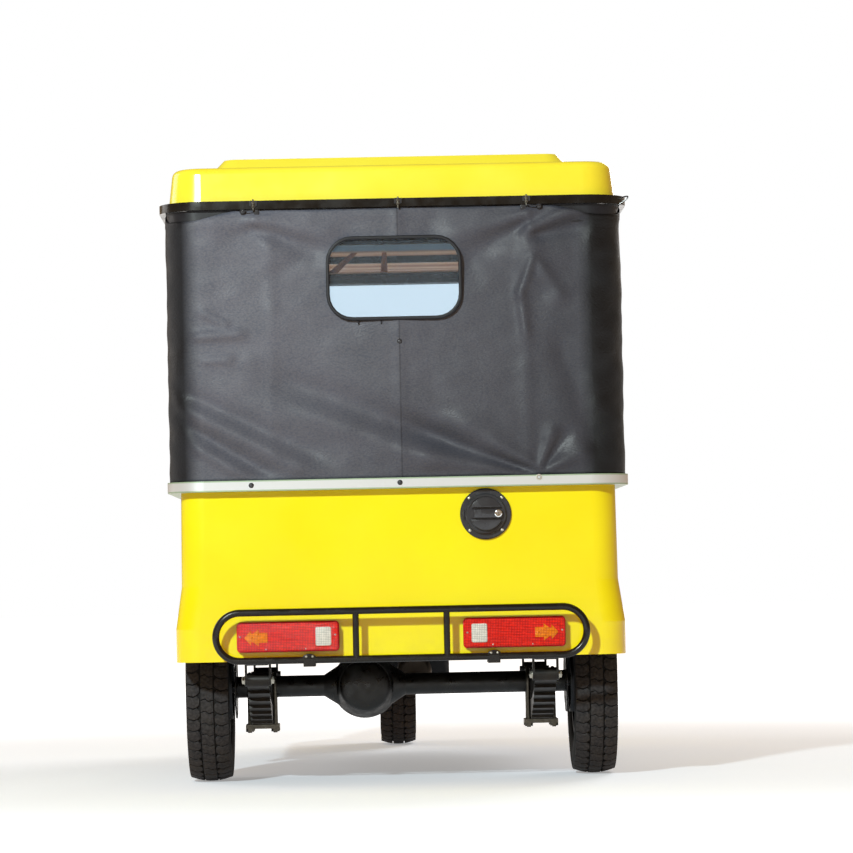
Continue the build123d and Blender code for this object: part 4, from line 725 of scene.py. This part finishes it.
# Clips under the roof's black lip: a bright bolt through the lip, a knob and the tab it holds
rail_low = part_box("roof_rail")[0]
bolts, knobs = bmesh.new(), bmesh.new()
bolt_y, link_y = rail_low.y - 0.003, rail_low.y - 0.004
bolt_across = 0.009
tab_outline = [(-0.009, 0), (0.009, 0), (0.007, -0.018), (0, -0.026), (-0.007, -0.018)]
for clip_x, knob_at, tab_turn in zip(clip_places, (-0.03, 0.0, 0.036), (12, 0, -8)):
    put(bolts, hex_nut(bolt_across, 0.007, 0.006), Matrix.Translation((clip_x, bolt_y, rail_low.z + 0.013)))
    washer_plate = plate(0.022, 0.016, 0.005, 0.003)
    put(knobs, washer_plate, rearward(clip_x, rail_low.y + 0.001, rail_low.z + 0.016))
    under = Matrix.Translation((clip_x, bolt_y, rail_low.z + 0.011)) @ Matrix.Rotation(pi, 4, "X")
    put(bolts, hex_nut(bolt_across, 0.006, 0.008), under)
    if knob_at:
        knob = put(bmesh.new(), dome_stud(0.009, 0.009))
        put(knobs, knob, rearward(clip_x + knob_at, canopy_rear - 0.004, rail_low.z - 0.006))
        link = [
            (clip_x, link_y, rail_low.z - 0.002),
            (clip_x + knob_at / 2, link_y - 0.002, rail_low.z - 0.006),
            (clip_x + knob_at, link_y, rail_low.z - 0.005),
        ]
        put(knobs, wire(link, 0.0016))
        tab_at = rearward(clip_x + knob_at * -0.2, canopy_rear - 0.003, rail_low.z + 0.002, tab_turn)
        put(knobs, outline_plate(tab_outline, 0.002, 0.0006), tab_at)
piece("clip_bolts", bolts, brass_zinc)
piece("clip_knobs", knobs, gloss_abs)
hook_y = rail_low.y + 0.02
hook_points = [
    (0.64, hook_y, rail_low.z + 0.012),
    (0.655, hook_y - 0.004, rail_low.z + 0.016),
    (0.672, hook_y - 0.006, rail_low.z + 0.019),
    (0.66, hook_y - 0.004, rail_low.z + 0.004),
    (0.642, hook_y, rail_low.z - 0.004),
]
piece("rail_hook", wire(hook_points, 0.002), black_enamel)


# Tail lamps: the clear reversing square, the amber arrow and the screws in each red lens
lamp_low, lamp_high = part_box("tail_lamps")
lamp_mid_z = (lamp_low.z + lamp_high.z) / 2
lens_y = lamp_low.y + 0.0012
squares, arrows, screws = bmesh.new(), bmesh.new(), bmesh.new()
arrow_outline = (
    (0.033, 0), (0.014, 0.021), (0.014, 0.012), (0.008, 0.012), (-0.008, 0.024), (-0.008, 0.014),
    (-0.033, 0.014), (-0.033, -0.014), (-0.008, -0.014), (-0.008, -0.024), (0.008, -0.012), (0.014, -0.012),
    (0.014, -0.021),
)
lamp_from_middle, square_from_lamp, arrow_from_lamp = 0.32, 0.1, 0.09
arrow_z = lamp_mid_z - 0.001
arrow_dots = ((0.012, 0.0), (-0.006, 0.009), (-0.006, -0.009), (-0.023, 0.0))
lens_screw_places = ((-0.134, 0.002), (0.134, 0.004), (0.05, -0.034), (-0.062, -0.034))
for side in (-1, 1):
    lamp_x = side * lamp_from_middle
    square = plate(0.044, 0.053, 0.003, 0.005, 0.001)
    put(squares, square, rearward(lamp_x - side * square_from_lamp, lens_y, lamp_mid_z))
    arrow = outline_plate([(side * x, y) for x, y in arrow_outline][::side], 0.0028, 0.0008)
    put(arrows, arrow, rearward(lamp_x + side * arrow_from_lamp, lens_y, arrow_z))
    for dot_x, dot_z in arrow_dots:
        at = rearward(lamp_x + side * (arrow_from_lamp + dot_x), lens_y - 0.0026, arrow_z + dot_z)
        put(arrows, dome_stud(0.0035, 0.0022), at)
    for screw_x, screw_z in lens_screw_places:
        put(screws, dome_stud(0.0028, 0.0018), rearward(lamp_x + screw_x, lens_y, lamp_mid_z + screw_z))
piece("reversing_lenses", squares, white_lens)
piece("turn_arrows", arrows, amber_lens)
piece("lens_screws", screws, zinc)

# Fuel filler: screws in the flange, and on the lid a raised grip, two raised crescents and the key barrel
lid_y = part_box("fuel_lid")[0].y
filler_x, filler_z = 0.246, 0.761
ring_screws = bmesh.new()
ring_face_y, screw_circle = -1.4343, 0.0648
for quarter in range(4):
    angle = radians(45 + 90 * quarter)
    screw_x, screw_z = screw_circle * cos(angle), screw_circle * sin(angle)
    at = rearward(filler_x + screw_x, ring_face_y, filler_z + screw_z)
    put(ring_screws, dome_stud(0.0048, 0.0026), at)
piece("filler_screws", ring_screws, zinc)
lid_radius, relief, relief_edge = 0.047, 0.0035, 0.0015
grip_top, grip_foot = 0.0185, -0.0165
grip = plate(0.08, 0.024, relief, 0.005, relief_edge)
lid_relief = put(bmesh.new(), grip, rearward(filler_x + 0.006, lid_y, filler_z))
for edge_z, side in ((grip_top, 1), (grip_foot, -1)):
    reach = asin(edge_z * side / lid_radius)
    sweep = [reach + (pi - 2 * reach) * step / 20 for step in range(21)]
    crescent = [(lid_radius * cos(a), lid_radius * sin(a) * side) for a in sweep]
    put(lid_relief, outline_plate(crescent, relief, relief_edge), rearward(filler_x, lid_y, filler_z))
piece("lid_relief", lid_relief, gloss_abs, "fuel_lid")
lock_x, keyhole_y = filler_x + 0.035, lid_y - 0.0057
barrel_line = [(0.0105, 0), (0.0105, 0.0024), (0.009, 0.0032), (0.0078, 0.0032), (0.0074, 0.0022)]
barrel_line += [(0, 0.0022)]
lock = put(bmesh.new(), turned(barrel_line, 28), rearward(lock_x, lid_y - relief, filler_z))
piece("lid_lock", lock, chrome, "fuel_lid")
keyhole = put(bmesh.new(), plate(0.0014, 0.008, 0.0006), rearward(lock_x, keyhole_y, filler_z, 20))
piece("lid_keyhole", keyhole, matt_abs, "fuel_lid")

# The differential's cover: one smooth pressed dome over its rim
dome_x, dome_y, dome_z = -0.107, -1.0555, 0.2725
dome_radius, dome_rise, dome_foot = 0.0745, 0.025, 0.004
quarter_turn = [radians(9 * step) for step in range(10)]
dome_line = [(dome_radius * cos(a), dome_rise * sin(a)) for a in quarter_turn] + [(0, dome_rise)]
dome = turned([(dome_radius, -dome_foot)] + dome_line, 48)
diff_dome = put(bmesh.new(), dome, rearward(dome_x, dome_y, dome_z))
piece("differential_dome", diff_dome, axle_iron)

# Bright nuts on the rear pins of the springs
shackle_low, shackle_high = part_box("spring_shackles")
shackle_face, shackle_nose = 0.0373, 0.017
pin_reach = 0.045
pin_nuts = bmesh.new()
for side in (-1, 1):
    for face in (-1, 1):
        nut_x = side * (shackle_high.x - pin_reach) + face * shackle_face
        at = sideways(nut_x, shackle_low.y + shackle_nose, shackle_low.z + shackle_nose, face)
        put(pin_nuts, hex_nut(0.02, 0.007, 0.0015), at)
piece("spring_pin_nuts", pin_nuts, zinc)

# The rounded tops of the guard's two lugs, with bright bolts in them
lug_bolts, lug_tops = bmesh.new(), bmesh.new()
lug_x, lug_y, lug_z, lug_depth = 0.26, -1.4925, 0.3625, 0.006
half_turn = [radians(15 * step) for step in range(13)]
lug_arch = [(0.021 * cos(a), 0.015 * sin(a)) for a in half_turn]
for side in (-1, 1):
    put(lug_tops, outline_plate(lug_arch, lug_depth, 0.0015), rearward(side * lug_x, lug_y, lug_z))
    for offset in (-0.009, 0.009):
        at = rearward(side * lug_x + offset, lug_y - lug_depth, lug_z + 0.007)
        put(lug_bolts, dome_stud(0.0036, 0.0025), at)
piece("guard_bolts", lug_bolts, zinc)
piece("guard_lug_tops", lug_tops, black_enamel)

# Chromed bezels round the two headlamps
bezels = bmesh.new()
headlamp_low, headlamp_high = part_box("headlamps")
headlamp_radius = (headlamp_high.z - headlamp_low.z) / 2
headlamp_x, headlamp_z = headlamp_high.x - headlamp_radius, (headlamp_low.z + headlamp_high.z) / 2
bezel_y = headlamp_high.y - 0.008
# the bezel's cross-section: how far out from the lens's edge, and how far forward
bezel_line = [(-0.0025, 0), (0.005, 0), (0.007, 0.004), (0.005, 0.009), (-0.001, 0.011), (-0.006, 0.009)]
for side in (-1, 1):
    ring = turned([(headlamp_radius + out, ahead) for out, ahead in bezel_line], 48)
    at = Matrix.Translation((side * headlamp_x, bezel_y, headlamp_z))
    put(bezels, ring, at @ Matrix.Rotation(radians(-90), 4, "X"))
piece("headlamp_bezels", bezels, chrome)


# Tyres: a carcass turned about the axle, with blocks in three staggered rows
tyre_half = [
    # distance from the middle and radius, from the bead to the crown
    (0.0475, 0.153), (0.048, 0.165), (0.054, 0.17), (0.0592, 0.183), (0.062, 0.2),
    (0.0628, 0.213), (0.0618, 0.229), (0.06, 0.242), (0.058, 0.25), (0.0545, 0.2545),
    (0.044, 0.258), (0.03, 0.262), (0.015, 0.2645), (0.008, 0.2652),
]
tyre_line = [(r, x) for x, r in tyre_half] + [(r, -x) for x, r in reversed(tyre_half)]
wall_ribs = ((0.1745, 0.0561), (0.236, 0.061))
rib_half, rib_rise = 0.0016, 0.001
tyre_crown = 0.2725
pitch_count = 48
shoulder_outline = (
    (0.0215, -0.011), (0.029, -0.019), (0.04, -0.014), (0.0608, -0.019), (0.0608, 0.012),
    (0.04, 0.017), (0.029, 0.012), (0.0215, 0.004),
)
middle_outline = (
    (-0.018, -0.015), (-0.005, -0.019), (0.005, -0.011), (0.018, -0.015), (0.018, 0.0175),
    (0.005, 0.0215), (-0.005, 0.0135), (-0.018, 0.0175),
)
block_depth, block_edge = 0.012, 0.0012
shoulder_drop, shoulder_x, edge_x = 0.011, 0.059, 0.06
tuck_in, tuck_down = 0.9, 0.009


def tread_block(outline, side, lead):
    """One block of the tread, laid over the crown of the tyre with its rim worn round."""
    part = outline_plate([(x * side, y + lead) for x, y in outline], block_depth, block_edge)
    for vertex in part.verts:
        x, y, z = vertex.co
        z += tyre_crown - shoulder_drop * (x / shoulder_x) ** 2 - y**2 / (2 * tyre_crown) - block_depth
        # the foot of a shoulder block is tucked into the sidewall
        under_edge = abs(x) > edge_x and vertex.co.z < block_depth / 2
        vertex.co = (x * tuck_in, y, z - tuck_down) if under_edge else (x, y, z)
    for face in part.faces:
        # paler tread rubber on the blocks: partly wear, partly painted highlight
        face.material_index = 1
    return part


def tyre(name, node, body, at):
    """A whole tyre on its axle, standing for its node."""
    shape = turned(tyre_line, 96)
    for radius, x in wall_ribs:
        for side in (-1, 1):
            rib = [(radius - rib_half, x), (radius, x + rib_rise), (radius + rib_half, x)]
            put(shape, turned([(r, out * side) for r, out in rib], 64))
    # a block's own X is the tyre's axis, here Z, and its Z points out from the axle
    stood_up = Matrix(((0, 0, 1, 0), (0, 1, 0, 0), (1, 0, 0, 0), (0, 0, 0, 1)))
    rows_across = ((shoulder_outline, -1, 0.0), (middle_outline, 1, 0.009), (shoulder_outline, 1, 0.018))
    for step in range(pitch_count):
        turn = Matrix.Rotation(2 * pi * step / pitch_count, 4, "Z") @ stood_up
        for outline, side, lead in rows_across:
            put(shape, tread_block(outline, side, lead), turn)
    bmesh.ops.recalc_face_normals(shape, faces=shape.faces)
    shape.transform(Matrix.Translation(at) @ Matrix.Rotation(radians(90), 4, "Y"))
    made = piece(name, shape, tyre_wall, body, 30)
    made.data.materials.append(tyre_tread.material)
    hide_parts(node)


wheels = (
    # name, body and the side that shows
    ("front", "front_wheel", -1),
    ("rear_left", "rear_wheel_left", -1),
    ("rear_right", "rear_wheel_right", 1),
)
for name, body, outer in wheels:
    low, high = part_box(f"{name}_tyre")
    tyre(f"{name}_tread_tyre", f"{name}_tyre", body, (low + high) / 2)

# Wheel nuts, the cap on each rear hub's outer end and a valve
nut_count, nut_circle, valve_circle = 5, 0.055, 0.135
valve_line = [(0.004, 0), (0.004, 0.016), (0.0048, 0.017), (0.0048, 0.03), (0.003, 0.032), (0, 0.032)]
cap_line = [(0.033, 0), (0.033, 0.004), (0.026, 0.008), (0.024, 0.022), (0.018, 0.028), (0, 0.029)]
for name, body, outer in wheels:
    low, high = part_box(f"{name}_rim")
    x, y, z = (low + high) / 2
    wheel_nuts = bmesh.new()
    for step in range(nut_count):
        angle = 2 * pi * step / nut_count
        at = (x + outer * 0.003, y + nut_circle * cos(angle), z + nut_circle * sin(angle))
        put(wheel_nuts, hex_nut(0.017, 0.01, 0.006), sideways(*at, outer))
    put(wheel_nuts, turned(valve_line, 12), sideways(x + outer * 0.004, y + valve_circle, z, outer))
    piece(f"{name}_wheel_nuts", wheel_nuts, zinc, body)
    if name != "front":
        hub_cap = put(bmesh.new(), turned(cap_line, 28), sideways(x + outer * 0.031, y, z, outer))
        piece(f"{name}_hub_cap", hub_cap, black_enamel, body)


# Seats: foam pads swollen inside their covers, sewn in channels, with piping on the seam
pad_inset, pressure, sim_steps = 0.006, 4.0, 20
seam_depth, seam_width = 0.01, 0.007


def stuffed(name, node, voxel, cap, normal, seams):
    """A pad that starts a little smaller than its block, swells, and stays flat where it rests."""
    low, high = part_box(node)
    middle = (low + high) / 2
    shape = bmesh.new()
    shape.from_mesh(nodes[node].data)
    bmesh.ops.remove_doubles(shape, verts=shape.verts, dist=1e-5)
    shrink = [1 - 2 * pad_inset / max(side, 0.05) for side in high - low]
    bmesh.ops.translate(shape, vec=-middle, verts=shape.verts)
    bmesh.ops.scale(shape, vec=shrink, verts=shape.verts)
    bmesh.ops.translate(shape, vec=middle, verts=shape.verts)
    made = piece(name, shape, seat_vinyl, crisp=180)
    even = made.modifiers.new("even", "REMESH")
    even.mode = "VOXEL"
    even.voxel_size = voxel
    bake_modifiers(made)
    start = [v.co.copy() for v in made.data.vertices]
    seat = min(co.dot(normal) for co in start)
    held = made.vertex_groups.new(name="held")
    held.add([i for i, co in enumerate(start) if co.dot(normal) < seat + 0.004], 1.0, "REPLACE")
    swell = made.modifiers.new("swell", "CLOTH")
    how = swell.settings
    how.quality = 5
    how.mass = 0.3
    how.use_pressure = True
    how.uniform_pressure_force = pressure
    how.effector_weights.gravity = 0
    how.vertex_group_mass = "held"
    swell.point_cache.frame_start = 1
    swell.point_cache.frame_end = sim_steps
    for step in range(1, sim_steps + 1):
        scene.frame_set(step)
    swollen = made.evaluated_get(bpy.context.evaluated_depsgraph_get()).to_mesh()
    ends = [v.co.copy() for v in swollen.vertices]
    made.modifiers.clear()
    scene.frame_set(1)
    for vertex, first, last in zip(made.data.vertices, start, ends):
        move = last - first
        if move.length > cap:
            move *= cap / move.length
        vertex.co = first + move
    finer = made.modifiers.new("finer", "SUBSURF")
    finer.levels = finer.render_levels = 1
    bake_modifiers(made)
    for vertex in made.data.vertices:
        co = vertex.co
        out = max(0, co.dot(normal) - seat)
        sunk = sum(seam_depth * exp(-(((co.x - seam) / seam_width) ** 2)) for seam in seams)
        lean = noise.noise(co * 14) * 0.0016 + noise.noise(co * 40) * 0.0005
        vertex.co = co - normal * (sunk * ease(out / 0.05)) + normal * lean * ease(out / 0.03)
        vertex.co = [min(max(c, l), h) for c, l, h in zip(vertex.co, low, high)]
    made.data.materials.clear()
    made.data.materials.append(seat_vinyl.material)
    made.data.shade_smooth()
    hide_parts(node)
    return made


def seam_piping(name, pad, points, radius=0.0038):
    """A sewn cord laid on a pad's skin along its seam."""
    skin = BVHTree.FromObject(pad, bpy.context.evaluated_depsgraph_get())
    laid = [skin.find_nearest(Vector(point))[0] for point in points]
    return piece(name, wire(laid, radius, closed=True), binding)


def loop_round(low, high, inset, count=12):
    """Points round the top of a pad, count along each side."""
    corners = [(low.x + inset, low.y + inset), (high.x - inset, low.y + inset)]
    corners += [(high.x - inset, high.y - inset), (low.x + inset, high.y - inset)]
    points = []
    for (x0, y0), (x1, y1) in zip(corners, corners[1:] + corners[:1]):
        for step in range(count):
            t = (step + 0.5) / count
            points.append((x0 + (x1 - x0) * t, y0 + (y1 - y0) * t, high.z - inset))
    return points


up, lean = Vector((0, 0, 1)), radians(10)
back_out, front_out = Vector((0, cos(lean), sin(lean))), Vector((0, 1, 0))
bench_seams, driver_seams = (-0.372, -0.186, 0.0, 0.186, 0.372), (-0.09, 0.09)
pads = {}
for name, node, voxel, cap, normal, seams, fill in (
    ("bench_seat_pad", "bench_cushion", 0.011, 0.014, up, bench_seams, 0.8),
    ("bench_back_pad", "bench_backrest", 0.011, 0.014, back_out, bench_seams, 0.75),
    ("driver_seat_pad", "driver_cushion", 0.009, 0.012, up, driver_seams, 0.8),
    ("driver_back_pad", "driver_backrest", 0.009, 0.012, front_out, driver_seams, 0.75),
):
    pads[node] = stuffed(name, node, voxel, cap, normal, seams)
piping_inset = 0.012
for name, node in (("bench_piping", "bench_cushion"), ("driver_piping", "driver_cushion")):
    seam_piping(name, pads[node], loop_round(*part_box(node), piping_inset))

# Roof lining: cloth hung from the bows, a little slack between them
lining_low, lining_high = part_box("roof_lining")
lining = bmesh.new()
bmesh.ops.create_grid(lining, x_segments=60, y_segments=110, size=1.0)
taper_y, taper = 0.15, 0.099
bow_places = (-1.381, -0.6, 0.04, 0.82)
most_slack, ripple_height, lining_gap = 0.01, 0.0015, 0.002
for vertex in lining.verts:
    y = lining_low.y + (vertex.co.y + 1) / 2 * (lining_high.y - lining_low.y)
    narrow = taper * max(0, y - taper_y) / (lining_high.y - taper_y)
    x = vertex.co.x * (lining_high.x - narrow)
    slack = most_slack * ease(min(abs(y - bow) for bow in bow_places) / 0.3) * (1 - vertex.co.x**4)
    ripple = ripple_height * noise.noise(Vector((x * 9, y * 5, 1.0)))
    vertex.co = (x, y, lining_low.z + lining_gap - slack + ripple)
lining_piece = piece("lining_cloth", lining, woven, crisp=180)
lining_thick = lining_piece.modifiers.new("cloth_thickness", "SOLIDIFY")
lining_thick.thickness = 0.0015
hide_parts("roof_lining")


# Two brown hand straps that hang from the bow behind the driver
strap_leather = Look("brown_strap_leather", "#6B4416", 0.5)
strap_leather.paint(strap_leather.drift("#5A300C", "#D0781A", 45))
bow_y, strap_top, strap_end = 0.02, lining_low.z - 0.002, 1.577
straps = bmesh.new()
for top_x, end_x, top_half, end_half in ((-0.1175, -0.19, 0.01, 0.017), (-0.02, -0.022, 0.007, 0.012)):
    strap = [(top_x - top_half, strap_top), (end_x - end_half, strap_end)]
    strap += [(end_x + end_half, strap_end), (top_x + top_half, strap_top)]
    put(straps, outline_plate(strap, 0.003, 0.001), rearward(0, bow_y, 0))
piece("hand_straps", straps, strap_leather)


# Stage, lamps and world: a small key lamp at the upper left behind the camera for crisp shadows, two soft
# fills ahead of the vehicle, warm light from below and a pale floor
def stage_floor():
    """A pale floor that keeps the vehicle's shadow and meets the white behind it."""
    look = Look("pale_floor", "#E4ECF8", 0.9)
    ray = look.add("LightPath").outputs
    # what the floor throws back up is warm, like light off a dusty road
    look.paint(look.blend(ray["Is Diffuse Ray"], look.drift("#E1EAF7", "#E7EFFB", 900), "#DCB48C"))
    seen = look.calc("MAXIMUM", ray["Is Camera Ray"], ray["Is Glossy Ray"])
    seen = look.calc("MAXIMUM", seen, ray["Is Transmission Ray"])
    far = look.add("VectorMath", {0: look.place}, operation="LENGTH").outputs["Value"]
    fade = look.ramp(far, 2.0, 5.5, 0.3, 1.0, interpolation_type="SMOOTHSTEP")
    look.inputs["Emission Color"].default_value = (1, 1, 1, 1)
    look.feed("Emission Strength", look.calc("MULTIPLY", seen, fade))
    return look


ground = bmesh.new()
bmesh.ops.create_grid(ground, x_segments=1, y_segments=1, size=60)
floor = placed("floor", mesh_of("floor", ground))
floor.data.materials.append(stage_floor().material)

white = (1.0, 1.0, 1.0)
for name, at, size, power, colour, aim in (
    ("key", (-3.1, -9.2, 4.5), 0.4, 692, (0.885, 1.0, 0.99), (0, -1.4, 0.9)),
    ("front_fill", (4.5, 7.5, 5.0), 4.0, 420, white, (0, 0.6, 0.8)),
    ("left_fill", (-7.0, 2.5, 4.0), 4.0, 130, white, (0, 0.4, 0.8)),
):
    light = bpy.data.lights.new(name, "AREA")
    light.size = size
    light.energy = power
    light.color = colour
    holder = placed(name, light)
    holder.location = at
    holder.rotation_euler = (Vector(aim) - Vector(at)).to_track_quat("-Z", "Y").to_euler()

# The camera sees a white world; what lights the vehicle is dimmer and warm
world = bpy.data.worlds.new("studio")
world.use_nodes = True
sky = Nodes(world.node_tree)
light_in = sky.tree.nodes["Background"].inputs
ray = sky.add("LightPath").outputs
direct = sky.calc("MAXIMUM", ray["Is Camera Ray"], ray["Is Transmission Ray"])
sky.tree.links.new(sky.ramp(direct, 0.0, 1.0, 0.36, 1.0), light_in["Strength"])
sky.tree.links.new(sky.blend(direct, (1.0, 0.68, 0.38, 1), (1, 1, 1, 1)), light_in["Color"])
scene.world = world
